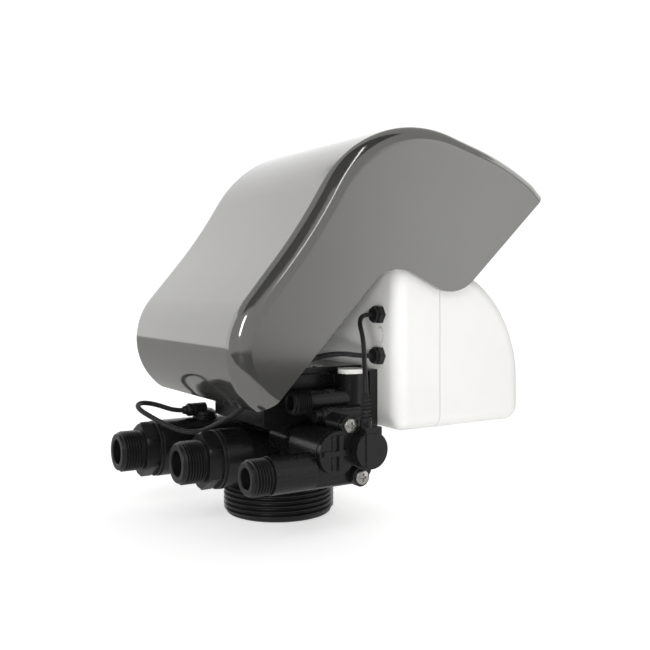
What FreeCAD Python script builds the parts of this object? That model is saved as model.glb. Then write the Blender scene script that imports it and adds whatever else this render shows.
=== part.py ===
"""Motorised control-valve head of a tank-top water softener, as a parametric FreeCAD document.

Millimetres, +Z up. The origin is on the axis of the tank thread, in the plane of its lower end.
The service ports point along +Y, the operator stands at -Y, and the drain side is -X.
"""
import FreeCAD, Part
import Sketcher
import math
import os
import re
from FreeCAD import Placement, Rotation, Vector

# ---------------------------------------------------------------- sizes

SIZES = {
    # hood: a sheet bent across its width, with a side wall at each end
    "hood_width": 162.0,
    "hood_wall": 3.0,
    "hood_edge_round": 11.0,
    "hood_rim_y": 54.5,
    "hood_rim_z": 77.5,
    "hood_ledge_width": 18.0,
    "hood_ledge_depth": 22.0,
    "hood_ledge_thick": 3.0,
    "hood_peg_radius": 2.5,
    "hood_peg_length": 5.0,
    "hood_peg_gap": 0.3,
    # white housing
    "housing_width": 150.0,
    "housing_rear": -42.0,
    "housing_front": -147.6,
    "housing_bottom": 57.0,
    "housing_top": 164.0,
    "housing_wall": 2.5,
    "housing_seam": -76.0,
    "housing_brow": 79.0,
    "housing_corner": 10.0,
    "housing_edge_round": 9.0,
    "post_radius": 4.5,
    "post_sink": 22.0,
    "post_grip": 8.0,
    "case_screw_radius": 1.6,
    # sloping panel in the brow, measured from the brow's own axis
    "panel_face": 71.5,
    "panel_thick": 2.5,
    "panel_width": 112.0,
    "panel_length": 54.0,
    "panel_rim": 3.0,
    "lens_width": 64.0,
    "lens_length": 24.0,
    "lens_thick": 1.5,
    "lens_shift": 10.0,
    "lens_ledge": 3.0,
    "key_radius": 4.8,
    "key_gap": 0.25,
    "key_pitch": 24.0,
    "key_row": -16.0,
    "key_proud": 1.6,
    "key_flange": 1.2,
    "key_travel": 0.8,
    "switch_width": 6.0,
    "board_width": 104.0,
    "board_length": 60.0,
    "board_thick": 1.6,
    "board_depth": 13.0,
    "board_inset": 4.0,
    "board_post": 2.5,
    # cable glands
    "gland_x": -57.0,
    "gland_upper_z": 130.0,
    "gland_lower_z": 104.0,
    "gland_flats": 10.5,
    "gland_proud": 6.0,
    "gland_shank": 4.0,
    # valve block
    "block_half": 35.0,
    "block_rear": 30.0,
    "block_front": -36.0,
    "block_bottom": 30.0,
    "block_top": 92.0,
    "block_step": 54.6,
    "core_left": -23.0,
    "core_right": 31.0,
    "core_rear": 11.0,
    "ear_left": -54.0,
    "ear_bottom": 46.0,
    "ear_top": 95.0,
    "base_radius": 34.5,
    "lid_thick": 3.4,
    "lid_gasket": 1.0,
    "lid_margin": 0.8,
    "collar_radius": 36.4,
    "collar_length": 24.0,
    "collar_neck": 3.0,
    "collar_bore": 30.0,
    "collar_pitch": 3.175,
    "collar_thread_depth": 1.9,
    "riser_bore": 13.5,
    # service ports
    "outlet_x": 50.0,
    "outlet_z": 39.0,
    "outlet_face": 67.0,
    "inlet_x": -10.0,
    "inlet_z": 40.0,
    "inlet_face": 50.0,
    "inlet_shoulder": 33.0,
    "inlet_taper": 42.0,
    "port_radius": 18.5,
    "port_bore": 12.0,
    "port_thread_radius": 13.22,
    "port_thread_length": 15.5,
    "port_pitch": 1.814,
    "port_hole": 8.0,
    "port_flats": 32.0,
    "port_hex_length": 9.0,
    "port_flange": 1.5,
    "port_thread_depth": 1.16,
    "seal_thick": 1.0,
    # drain
    "drain_x": -77.0,
    "drain_z": 42.0,
    "drain_face": 50.0,
    "drain_radius": 11.0,
    "drain_bore": 6.0,
    "drain_back": -8.0,
    "drain_thread_radius": 10.48,
    "drain_thread_length": 14.0,
    # brine
    "brine_x": -48.0,
    "brine_y": -25.5,
    "brine_z": 77.3,
    "brine_radius": 8.5,
    "brine_bore": 5.0,
    "brine_pipe_radius": 6.7,
    "brine_pipe_face": 6.0,
    "brine_seat": 64.0,
    "brine_head": 93.0,
    "brine_cap_thick": 2.9,
    "brine_thread_radius": 7.95,
    "brine_thread_depth": 0.92,
    "brine_thread_length": 13.0,
    "brine_pitch": 1.5,
    # injector and cell socket
    "injector_face": -84.0,
    "injector_y": 10.0,
    "injector_z": 52.5,
    "injector_radius": 12.5,
    "injector_bore": 8.0,
    "cell_y": -8.6,
    "cell_z": 53.3,
    "cell_bore": 7.0,
    "barrel_end": -53.0,
    "barrel_taper": 12.0,
    "cover_thick": 3.2,
    "cover_gasket": 1.0,
    "rib_height": 1.5,
    "rib_width": 3.0,
    "lug_radius": 5.6,
    "screw_radius": 2.0,
    "body_screw_length": 12.0,
    "screw_head_radius": 4.2,
    "screw_head_height": 2.4,
    "plug_radius": 10.8,
    "plug_thick": 7.5,
    "plug_gap": 0.2,
    "cell_pin_radius": 1.2,
    "cell_pin_reach": 4.0,
    # rotary valve and drive
    "shaft_z": 70.0,
    "shaft_radius": 4.0,
    "running_gap": 0.05,
    "chamber_radius": 18.0,
    "chamber_depth": 18.0,
    "stator_thick": 4.5,
    "valve_port_radius": 3.6,
    "valve_port_circle": 10.5,
    "rotor_thick": 5.0,
    "body_cover_thick": 6.0,
    "mount_reach": 15.0,
    "gear_module": 1.0,
    "drive_teeth": 18,
    "idler_teeth": 42,
    "pinion_teeth": 14,
    "gear_width": 7.0,
    "gear_start": -50.0,
    "gear_plate_y": -62.0,
    "gear_plate_thick": 2.5,
    "gear_plate_left": -30.0,
    "gear_plate_right": 52.0,
    "gear_plate_top": 124.0,
    "idler_pin_radius": 2.5,
    "motor_shaft_radius": 2.0,
    "gearbox_radius": 18.5,
    "gearbox_length": 20.0,
    "motor_radius": 13.5,
    "motor_length": 20.0,
    # flow meter
    "meter_sensor_y": 31.0,
    "meter_sensor_radius": 6.5,
    "meter_nose_radius": 4.2,
    "meter_nose_length": 13.0,
    "turbine_radius": 9.8,
    "turbine_length": 16.0,
    "axle_radius": 1.0,
    # leads
    "cell_lead_diameter": 2.9,
    "meter_lead_diameter": 3.2,
}

doc = FreeCAD.newDocument("control_valve_head")
sheet = doc.addObject("Spreadsheet::Sheet", "Sizes")
for row, (alias, value) in enumerate(SIZES.items(), start=1):
    sheet.set(f"A{row}", alias)
    sheet.set(f"B{row}", str(value))
    sheet.setAlias(f"B{row}", alias)
doc.recompute()

WORD = re.compile(r"[a-z][a-z0-9_]*")
NODES = []

# ---------------------------------------------------------------- expressions and placing


def link(text):
    """An expression written with bare size names, as FreeCAD reads it."""
    return WORD.sub(lambda m: "Sizes." + m.group(0) if m.group(0) in SIZES else m.group(0), str(text))


def num(text):
    """The number that an expression gives now."""
    value = sheet.evalExpression(link(text))
    return float(getattr(value, "Value", value))


def bind(obj, **sizes):
    for name, text in sizes.items():
        obj.setExpression(name, link(text))


TURNS = {
    "Z": Rotation(),
    "-Z": Rotation(Vector(1, 0, 0), 180),
    "Y": Rotation(Vector(1, 0, 0), -90),
    "-Y": Rotation(Vector(1, 0, 0), 90),
    "X": Rotation(Vector(0, 1, 0), 90),
    "-X": Rotation(Vector(0, 1, 0), -90),
}


def place(obj, at, turn="Z"):
    """Turn obj's own Z axis to the one named, and tie its base point to expressions."""
    obj.Placement = Placement(Vector(*[num(text) for text in at]), TURNS[turn])
    for axis, text in zip("xyz", at):
        obj.setExpression(f".Placement.Base.{axis}", link(text))
    return obj


def cylinder(name, radius, length, at, turn="Z"):
    obj = doc.addObject("Part::Cylinder", name)
    bind(obj, Radius=radius, Height=length)
    return place(obj, at, turn)


def cone(name, radius, end_radius, length, at, turn="Z"):
    obj = doc.addObject("Part::Cone", name)
    bind(obj, Radius1=radius, Radius2=end_radius, Height=length)
    return place(obj, at, turn)


def ball(name, radius, at):
    obj = doc.addObject("Part::Sphere", name)
    bind(obj, Radius=radius)
    return place(obj, at)


def box(name, low, high):
    """A box between two corners, each given as three expressions."""
    obj = doc.addObject("Part::Box", name)
    sides = [f"({b}) - ({a})" for a, b in zip(low, high)]
    bind(obj, Length=sides[0], Width=sides[1], Height=sides[2])
    return place(obj, low)


def prism(name, sides, circumradius, length, at, turn="Z"):
    obj = doc.addObject("Part::Prism", name)
    obj.Polygon = sides
    bind(obj, Circumradius=circumradius, Height=length)
    return place(obj, at, turn)


def fuse(name, parts):
    obj = doc.addObject("Part::MultiFuse", name)
    obj.Shapes = parts
    obj.Refine = True
    return obj


def chain(name, parts):
    """Fuses parts one after another, for bodies that meet along touching faces."""
    whole = parts[0]
    for index, part in enumerate(parts[1:], start=1):
        step = doc.addObject("Part::Fuse", f"{name}_{index}")
        step.Base = whole
        step.Tool = part
        whole = step
    return whole


def cut(name, base, tools):
    obj = doc.addObject("Part::Cut", name)
    obj.Base = base
    obj.Tool = tools[0] if len(tools) == 1 else fuse(name + "_tools", tools)
    obj.Refine = True
    return obj


def common(name, first, second):
    obj = doc.addObject("Part::Common", name)
    obj.Base = first
    obj.Tool = second
    return obj


def group(name, parts):
    """Like pieces kept apart in one node."""
    obj = doc.addObject("Part::Compound", name)
    obj.Links = parts
    return obj


def coded(name, shape, at=("0", "0", "0"), turn="Z"):
    """A sub-part whose shape is worked out here from the sheet's sizes."""
    obj = doc.addObject("Part::Feature", name)
    obj.Shape = shape
    return place(obj, at, turn)


def node(name, obj):
    """Marks obj as a finished sub-part."""
    obj.Label = name
    NODES.append((name, obj))
    return obj


# ---------------------------------------------------------------- sketches


def rounded_corner(before, corner, after, radius):
    """Start, middle and end of the arc that rounds a corner."""
    if not radius:
        return corner, corner, corner
    to_before = (before - corner).normalize()
    to_after = (after - corner).normalize()
    half = to_before.getAngle(to_after) / 2
    reach = radius / math.tan(half)
    bisector = (to_before + to_after).normalize()
    middle = corner + bisector * (radius / math.sin(half) - radius)
    return corner + to_before * reach, middle, corner + to_after * reach


def tie(sketch, kind, text, *ends):
    """A sketch dimension driven by an expression."""
    index = sketch.addConstraint(Sketcher.Constraint(kind, *ends, num(text)))
    sketch.setExpression(f"Constraints[{index}]", link(text))


def rounded_sketch(body, name, plane, corners):
    """A closed outline on one of the body's origin planes.

    Each corner is (x, y, radius) in expressions. The corner points stay in the sketch as
    construction points, so that their places and the radii are all driven by the sheet.
    """
    sketch = body.newObject("Sketcher::SketchObject", name)
    support = [f for f in body.Origin.OriginFeatures if f.Role == plane][0]
    sketch.AttachmentSupport = [(support, "")]
    sketch.MapMode = "FlatFace"
    points = [Vector(num(x), num(y), 0) for x, y, _ in corners]
    count = len(points)
    arcs = []
    for i in range(count):
        arcs.append(rounded_corner(points[i - 1], points[i], points[(i + 1) % count], num(corners[i][2])))
    lines = []
    for i in range(count):
        line = Part.LineSegment(arcs[i][2], arcs[(i + 1) % count][0])
        lines.append(sketch.addGeometry(line, False))
    for i in range(count):
        x, y, radius = corners[i]
        before, after = lines[i - 1], lines[i]
        if num(radius):
            rounding = sketch.addGeometry(Part.Arc(*arcs[i]), False)
            started = (sketch.getPoint(rounding, 1) - arcs[i][0]).Length < 1e-6
            near, far = (1, 2) if started else (2, 1)
            sketch.addConstraint(Sketcher.Constraint("Tangent", before, 2, rounding, near))
            sketch.addConstraint(Sketcher.Constraint("Tangent", after, 1, rounding, far))
            tie(sketch, "Radius", radius, rounding)
            corner = sketch.addGeometry(Part.Point(points[i]), True)
            sketch.addConstraint(Sketcher.Constraint("PointOnObject", corner, 1, before))
            sketch.addConstraint(Sketcher.Constraint("PointOnObject", corner, 1, after))
        else:
            sketch.addConstraint(Sketcher.Constraint("Coincident", before, 2, after, 1))
            corner = after
        tie(sketch, "DistanceX", x, -1, 1, corner, 1)
        tie(sketch, "DistanceY", y, -1, 1, corner, 1)
    return sketch


def padded_outline(name, plane, corners, length, end_round=None):
    """A body: an outline padded to both sides of its plane, the edges of its two ends rounded."""
    body = doc.addObject("PartDesign::Body", name)
    sketch = rounded_sketch(body, name + "_outline", plane, corners)
    pad = body.newObject("PartDesign::Pad", name + "_pad")
    pad.Profile = sketch
    pad.Midplane = True
    bind(pad, Length=length)
    doc.recompute()
    if end_round:
        half = num(length) / 2
        ends = []
        for index, edge in enumerate(pad.Shape.Edges, start=1):
            if all(abs(abs(v.Point.x) - half) < 1e-4 for v in edge.Vertexes):
                ends.append(f"Edge{index}")
        rounding = body.newObject("PartDesign::Fillet", name + "_round")
        rounding.Base = (pad, ends)
        bind(rounding, Radius=end_round)
        doc.recompute()
    return body


# ---------------------------------------------------------------- turned and toothed shapes


def turned(points):
    """Solid of revolution about Z from (radius, height) points."""
    profile = Part.makePolygon([Vector(r, 0, z) for r, z in points + points[:1]])
    return Part.Face(profile).revolve(Vector(0, 0, 0), Vector(0, 0, 1), 360)


def threaded_tube(crest, depth, pitch, length, bore, lead_in):
    """A tube with thread ridges outside, from its root end at 0 to its free end at length."""
    root = crest - depth
    points = [(bore, 0), (root, 0)]
    turns = int((length - lead_in) / pitch)
    start = length - lead_in - turns * pitch
    for i in range(turns):
        foot = start + i * pitch
        points += [(root, foot + 0.1 * pitch), (crest, foot + 0.42 * pitch),
                   (crest, foot + 0.58 * pitch), (root, foot + 0.9 * pitch)]
    points += [(root, length - lead_in), (crest - 0.3 * depth, length - lead_in + 0.3 * pitch),
               (crest - 0.3 * depth, length - 0.5), (crest - 0.3 * depth - 0.5, length), (bore, length)]
    return turned(points)


def involute_gear(teeth, width, bore=0.0, hub_radius=0.0, hub_width=0.0, phase=0.0):
    """A spur gear about Z, thinned a little for backlash: phase pitches turn its tooth from +X."""
    module = num("gear_module")
    pressure = math.radians(25)
    pitch_radius = module * teeth / 2
    base = pitch_radius * math.cos(pressure)
    outer = pitch_radius + 0.95 * module
    root = pitch_radius - 1.2 * module
    backlash = 0.10
    half_at_pitch = math.pi / (2 * teeth) - backlash / (2 * pitch_radius)
    spread = math.tan(pressure) - pressure

    def flank_angle(radius):
        roll = math.acos(min(1.0, base / radius))
        return half_at_pitch + spread - (math.tan(roll) - roll)

    radii = [max(base, root) + (outer - max(base, root)) * i / 5 for i in range(6)]
    flank = [(root, flank_angle(radii[0]))] + [(r, flank_angle(r)) for r in radii]
    points = []
    for tooth in range(teeth):
        middle = 2 * math.pi * (tooth + phase) / teeth
        sides = [(r, middle - a) for r, a in flank] + [(r, middle + a) for r, a in reversed(flank)]
        points += [Vector(r * math.cos(a), r * math.sin(a), 0) for r, a in sides]
    wheel = Part.Face(Part.makePolygon(points + points[:1])).extrude(Vector(0, 0, width))
    if hub_radius:
        wheel = wheel.fuse(Part.makeCylinder(hub_radius, hub_width))
    if bore:
        wheel = wheel.cut(Part.makeCylinder(bore, max(width, hub_width)))
    return wheel


def ring(name, inner, outer, length, at, turn="Z"):
    """A flat ring or plain tube."""
    hole = cylinder(name + "_hole", inner, length, at, turn)
    return cut(name, cylinder(name + "_disc", outer, length, at, turn), [hole])


# ---------------------------------------------------------------- hood

# corners of the side view as (Y, Z, radius): the sheet from under its rear rim over the crest to past
# the beak, then round below, where the trim leaves nothing
HOOD_SHEET = [
    ("hood_rim_y - 23.2", "hood_rim_z - 15", "10"),
    ("hood_rim_y + 39", "hood_rim_z + 25.2", "42"),
    ("hood_rim_y - 26.65", "hood_rim_z + 102.5", "340"),
    ("hood_rim_y - 77.8", "hood_rim_z + 184.9", "86"),
    ("hood_rim_y - 185.6", "hood_rim_z + 155.8", "200"),
    ("hood_rim_y - 211.5", "hood_rim_z + 141.4", "22"),
    ("hood_rim_y - 241.7", "hood_rim_z + 115.2", "15"),
    ("hood_rim_y - 241.7", "hood_rim_z - 33.4", "15"),
]

# what is kept of it: everything above the open lower edge, which runs from the rear rim to the beak
HOOD_TRIM = [
    ("hood_rim_y + 40", "hood_rim_z - 22.7", "0"),
    ("hood_rim_y - 9", "hood_rim_z + 5.1", "14"),
    ("hood_rim_y - 87.6", "hood_rim_z + 86.3", "26"),
    ("hood_rim_y - 139.3", "hood_rim_z + 61.8", "28"),
    ("hood_rim_y - 220.6", "hood_rim_z + 133.9", "3.5"),
    ("hood_rim_y - 204.5", "hood_rim_z + 147.9", "0"),
    ("hood_rim_y - 226.5", "hood_rim_z + 165.5", "0"),
    ("hood_rim_y - 226.5", "hood_rim_z + 200", "0"),
    ("hood_rim_y + 40", "hood_rim_z + 200", "0"),
]


def inner_outline(corners, wall):
    """The same outline moved in by a wall: a hollow corner's radius grows, any other corner's shrinks."""
    moved = []
    count = len(corners)
    for i, (x, y, radius) in enumerate(corners):
        here = Vector(num(x), num(y), 0)
        before = Vector(num(corners[i - 1][0]), num(corners[i - 1][1]), 0)
        after = Vector(num(corners[(i + 1) % count][0]), num(corners[(i + 1) % count][1]), 0)
        to_before, to_after = (before - here).normalize(), (after - here).normalize()
        side = 1 if (here - before).cross(after - here).z > 0 else -1
        half = to_before.getAngle(to_after) / 2
        step = (to_before + to_after).normalize() * (side / math.sin(half))
        moved.append((f"{x} + {wall} * ({step.x:.6f})", f"{y} + {wall} * ({step.y:.6f})",
                      f"{radius} - {side} * {wall}"))
    return moved


def make_hood():
    outer = padded_outline("hood_outer", "YZ_Plane", HOOD_SHEET, "hood_width", "hood_edge_round")
    inner = padded_outline("hood_inner", "YZ_Plane", inner_outline(HOOD_SHEET, "hood_wall"),
                           "hood_width - 2 * hood_wall", "hood_edge_round - hood_wall")
    trim = padded_outline("hood_trim", "YZ_Plane", HOOD_TRIM, "hood_width + 10")
    shell = common("hood_shell", cut("hood_hollow", outer, [inner]), trim)
    pieces = [shell]
    inside = "hood_width / 2 - hood_wall"
    rear = "housing_rear - housing_edge_round"
    for side, sign in (("left", "-1"), ("right", "1")):
        edge = f"({inside} + 0.5) * {sign}"
        tip = f"({inside} - hood_ledge_width) * {sign}"
        low_x, high_x = (edge, tip) if sign == "-1" else (tip, edge)
        pieces.append(box(f"hood_ledge_{side}", (low_x, f"{rear} - hood_ledge_depth", "housing_top"),
                          (high_x, rear, "housing_top + hood_ledge_thick")))
        pieces.append(cylinder(f"hood_peg_{side}", "hood_peg_radius", "hood_peg_length + hood_ledge_thick",
                               (f"({inside} - hood_ledge_width + 6) * {sign}",
                                f"{rear} - hood_ledge_depth / 2", "housing_top + hood_ledge_thick"), "-Z"))
    node("hood", fuse("hood_solid", pieces))


# ---------------------------------------------------------------- white housing

HOUSING_OUTLINE = [
    ("housing_rear", "housing_bottom", "housing_corner"),
    ("housing_rear", "housing_top", "housing_corner"),
    ("housing_front", "housing_top", "housing_brow"),
    ("housing_front", "housing_bottom", "housing_corner"),
]
BROW_Y = "(housing_front + housing_brow)"
BROW_Z = "(housing_top - housing_brow)"
BROW_TURN = Rotation(Vector(1, 0, 0), 45)
FAR = "400"


def on_panel(obj, x, up, out):
    """Places obj in the sloping panel's frame: x across, up the slope, out from the brow's axis."""
    base = (x, f"{BROW_Y} + (({up}) - ({out})) * sqrt(0.5)", f"{BROW_Z} + (({up}) + ({out})) * sqrt(0.5)")
    place(obj, base)
    obj.Placement = Placement(obj.Placement.Base, BROW_TURN)
    return obj


def panel_box(name, width, length, up, low, high):
    """A box centred across the panel, between two depths."""
    obj = doc.addObject("Part::Box", name)
    bind(obj, Length=width, Width=length, Height=f"({high}) - ({low})")
    return on_panel(obj, f"-({width}) / 2", f"({up}) - ({length}) / 2", low)


def panel_cylinder(name, radius, x, up, low, high):
    obj = doc.addObject("Part::Cylinder", name)
    bind(obj, Radius=radius, Height=f"({high}) - ({low})")
    return on_panel(obj, x, up, low)


KEYS = [("key_down", -1.5), ("key_up", -0.5), ("key_set", 0.5), ("key_start", 1.5)]
PANEL_BACK = "panel_face - panel_thick"
BOARD_FRONT = "panel_face - board_depth"
BOARD_BACK = "panel_face - board_depth - board_thick"
BOARD_CORNERS = [(f"{x} * (board_width / 2 - board_inset)", f"{up} * (board_length / 2 - board_inset)")
                 for x in ("-1", "1") for up in ("-1", "1")]
REAR_INSIDE = "housing_rear - housing_wall"
POSTS = [("high", "60", "150"), ("low", "60", "68"), ("inner", "-28", "152")]
MOUNT_POINTS = [(x, z) for x in ("-mount_reach", "mount_reach") for z in ("shaft_z + 1.5", "shaft_z + 17")]


def make_housing():
    wall = "housing_wall"
    outer = padded_outline("housing_outer", "YZ_Plane", HOUSING_OUTLINE, "housing_width",
                           "housing_edge_round")
    inner = padded_outline("housing_inner", "YZ_Plane", inner_outline(HOUSING_OUTLINE, wall),
                           f"housing_width - 2 * {wall}", f"housing_edge_round - {wall}")
    rear_half = box("rear_half", ("-" + FAR, "housing_seam", "-" + FAR), (FAR, FAR, FAR))
    front_half = box("front_half", ("-" + FAR, "-" + FAR, "-" + FAR), (FAR, "housing_seam", FAR))
    skin = cut("housing_skin", outer, [inner])

    rear_posts, front_posts, rear_holes, front_holes, screws = [], [], [], [], []
    post_length = "housing_rear - housing_seam"
    for side, x, z in POSTS:
        rear_posts.append(cylinder(f"post_rear_{side}", "post_radius", f"{post_length} - 1",
                                   (x, "housing_rear - 1", z), "-Y"))
        front_posts.append(cylinder(f"post_front_{side}", "post_radius", "post_grip + 2",
                                    (x, "housing_seam", z), "-Y"))
        rear_holes += [cylinder(f"post_bore_{side}", "case_screw_radius + 0.2", f"{post_length} + 1",
                                (x, "housing_rear + 0.5", z), "-Y"),
                       cylinder(f"post_sink_{side}", "post_radius - 1.1", "post_sink + 1",
                                (x, "housing_rear + 1", z), "-Y")]
        front_holes.append(cylinder(f"post_pilot_{side}", "case_screw_radius", "post_grip + 0.5",
                                    (x, "housing_seam + 0.5", z), "-Y"))
        screws.append(pan_screw(f"housing_screw_{side}", "case_screw_radius", "post_radius - 1.5", "2.4",
                                f"{post_length} - post_sink + post_grip",
                                (x, "housing_rear - post_sink", z), "-Y"))
    post_front = "housing_seam - post_grip - 2"
    webs = [box(f"post_web_{side}", (x, post_front, f"{z} - 1.5"),
                ("housing_width / 2 - 1", "housing_seam", f"{z} + 1.5")) for side, x, z in POSTS[:2]]
    webs.append(box("post_web_inner", ("-29.5", post_front, "152"),
                    ("-26.5", "housing_seam", "housing_top - 3")))
    standoffs, pilots = [], []
    for index, (x, z) in enumerate(PLATE_CORNERS):
        standoffs.append(cylinder(f"plate_standoff_{index}", "4", f"{REAR_INSIDE} + 1 - gear_plate_y",
                                  (x, f"{REAR_INSIDE} + 1", z), "-Y"))
        pilots.append(cylinder(f"plate_pilot_{index}", "1.3", "8", (x, "gear_plate_y + 8", z), "-Y"))
    mount_holes = [cylinder(f"mount_hole_{i}", "2.2", "housing_wall + 2", (x, "housing_rear + 1", z), "-Y")
                   for i, (x, z) in enumerate(MOUNT_POINTS)]
    peg_holes = [cylinder(f"peg_hole_{side}", "hood_peg_radius + hood_peg_gap", "12",
                          (f"(housing_width - hood_ledge_width) / 2 * {sign}",
                           "housing_rear - housing_edge_round - hood_ledge_depth / 2", "housing_top + 1"),
                          "-Z")
                 for side, sign in (("left", "-1"), ("right", "1"))]
    gland_holes = [cylinder(f"gland_hole_{i}", "gland_shank", "housing_wall + 2",
                            ("gland_x", "housing_rear + 1", z), "-Y")
                   for i, z in enumerate(("gland_upper_z", "gland_lower_z"))]
    shaft_hole = cylinder("housing_shaft_hole", "shaft_radius + 3", "housing_wall + 2",
                          ("0", "housing_rear + 1", "shaft_z"), "-Y")
    pin_boss = cylinder("idler_boss", "5", "4", ("0", f"{REAR_INSIDE} + 1", IDLER_Z), "-Y")
    pin_hole = cylinder("idler_seat", "idler_pin_radius", "6", ("0", "housing_rear - 0.8", IDLER_Z), "-Y")
    rear = fuse("housing_rear_blank", [common("housing_rear_skin", skin, rear_half), pin_boss]
                + rear_posts + standoffs)
    node("housing_rear", cut("housing_rear_solid", rear, mount_holes + peg_holes + gland_holes + rear_holes
                             + pilots + [shaft_hole, pin_hole]))

    tray = panel_box("panel_tray", "panel_width + 2 * panel_rim", "panel_length + 2 * panel_rim", "0",
                     PANEL_BACK, "housing_brow")
    tray = common("panel_frame", tray, outer)
    board_posts = [panel_cylinder(f"board_post_{i}", "board_post + 0.5", x, up, BOARD_FRONT,
                                  f"{PANEL_BACK} + 0.5")
                   for i, (x, up) in enumerate(BOARD_CORNERS)]
    front = fuse("housing_front_blank", [common("housing_front_skin", skin, front_half), tray]
                 + board_posts + front_posts + webs)
    recess = panel_box("panel_recess", "panel_width", "panel_length", "0", "panel_face", "housing_brow + 5")
    lens_seat = panel_box("lens_seat", "lens_width", "lens_length", "lens_shift", "panel_face - lens_thick",
                          "panel_face + 1")
    window = panel_box("lens_window", "lens_width - 2 * lens_ledge", "lens_length - 2 * lens_ledge",
                       "lens_shift", f"{PANEL_BACK} - 1", "panel_face")
    key_holes = [panel_cylinder(f"{name}_hole", "key_radius + key_gap", f"{step} * key_pitch", "key_row",
                                f"{PANEL_BACK} - 1", "panel_face + 1") for name, step in KEYS]
    pilots = [panel_cylinder(f"board_pilot_{i}", "1.1", x, up, f"{BOARD_FRONT} - 1", f"{BOARD_FRONT} + 7")
              for i, (x, up) in enumerate(BOARD_CORNERS)]
    node("housing_front", cut("housing_front_solid", front, [recess, lens_seat, window] + key_holes + pilots
                              + front_holes))
    node("housing_screws", group("housing_screw_set", screws))


def pan_screw(name, radius, head_radius, head_height, length, at, turn):
    """A screw with a pan head: at is the seat of its head, turn the way its shank points."""
    back = {"-Y": "Y", "Y": "-Y", "X": "-X", "-X": "X", "Z": "-Z", "-Z": "Z"}[turn]
    shank = cylinder(name + "_shank", radius, length, at, turn)
    head = cylinder(name + "_head", head_radius, head_height, at, back)
    return fuse(name, [shank, head])


def make_panel():
    node("display_lens", panel_box("lens_sheet", "lens_width", "lens_length", "lens_shift",
                                   "panel_face - lens_thick", "panel_face"))
    node("display_module", panel_box("display_block", "lens_width + 2", "lens_length + 2",
                                     "lens_shift", BOARD_FRONT, PANEL_BACK))
    board = panel_box("board_blank", "board_width", "board_length", "0", BOARD_BACK, BOARD_FRONT)
    holes = [panel_cylinder(f"board_hole_{i}", "1.3", x, up, f"{BOARD_BACK} - 1", f"{BOARD_FRONT} + 1")
             for i, (x, up) in enumerate(BOARD_CORNERS)]
    node("control_board", cut("board", board, holes))
    screws = []
    for i, (x, up) in enumerate(BOARD_CORNERS):
        shank = panel_cylinder(f"board_shank_{i}", "1.1", x, up, BOARD_BACK, f"{BOARD_FRONT} + 6")
        head = panel_cylinder(f"board_head_{i}", "2.4", x, up, f"{BOARD_BACK} - 1.8", BOARD_BACK)
        screws.append(fuse(f"board_screw_{i}", [shank, head]))
    node("board_screws", group("board_screw_set", screws))
    switches = []
    flange_low = f"{PANEL_BACK} - 0.1 - key_flange"
    stem_low = f"{BOARD_FRONT} + 5 + key_travel + 0.3"
    for name, step in KEYS:
        x = f"{step} * key_pitch"
        body = doc.addObject("Part::Box", f"{name}_switch")
        bind(body, Length="switch_width", Width="switch_width", Height="4")
        on_panel(body, f"{x} - switch_width / 2", "key_row - switch_width / 2", BOARD_FRONT)
        button = panel_cylinder(f"{name}_button", "1.7", x, "key_row", f"{BOARD_FRONT} + 4",
                                f"{BOARD_FRONT} + 5")
        switches.append(fuse(f"{name}_contact", [body, button]))
        cap = panel_cylinder(f"{name}_cap", "key_radius", x, "key_row", flange_low, "panel_face + key_proud")
        flange = panel_cylinder(f"{name}_flange", "key_radius + 1", x, "key_row", flange_low,
                                f"{PANEL_BACK} - 0.1")
        stem = panel_cylinder(f"{name}_stem", "1.7", x, "key_row", stem_low, flange_low)
        node(name, fuse(f"{name}_solid", [cap, flange, stem]))
    node("key_switches", group("key_switch_set", switches))


def make_glands():
    glands = []
    flats = "gland_flats / 2 / cos(30)"
    for name, z in (("gland_upper", "gland_upper_z"), ("gland_lower", "gland_lower_z")):
        head = prism(name + "_hex", 6, flats, "gland_proud - 2", ("gland_x", "housing_rear", z), "Y")
        nose = cylinder(name + "_nose", "gland_flats / 2 - 0.6", "2",
                        ("gland_x", "housing_rear + gland_proud - 2", z), "Y")
        shank = cylinder(name + "_shank", "gland_shank", "housing_wall + 4", ("gland_x", "housing_rear", z),
                         "-Y")
        nut = prism(name + "_nut", 6, flats, "2.5", ("gland_x", REAR_INSIDE, z), "-Y")
        glands.append(fuse(name, [head, nose, shank, nut]))
    node("cable_glands", group("cable_gland_set", glands))


# ---------------------------------------------------------------- drive

IDLER_Z = "shaft_z + gear_module * (drive_teeth + idler_teeth) / 2 + running_gap"
PINION_X = "gear_module * (idler_teeth + pinion_teeth) / 2 + running_gap"
PLATE_CORNERS = [(x, z) for x in ("gear_plate_left + 5", "gear_plate_right - 5")
                 for z in ("housing_bottom + 9", "gear_plate_top - 5")]
PLATE_FRONT = "gear_plate_y - gear_plate_thick"
COVER_FRONT = "block_front - body_cover_thick"
VALVE_PORTS = [(f"valve_port_circle * cos({angle})", f"shaft_z + valve_port_circle * sin({angle})")
               for angle in (30, 90, 150, 210, 330)]


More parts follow.
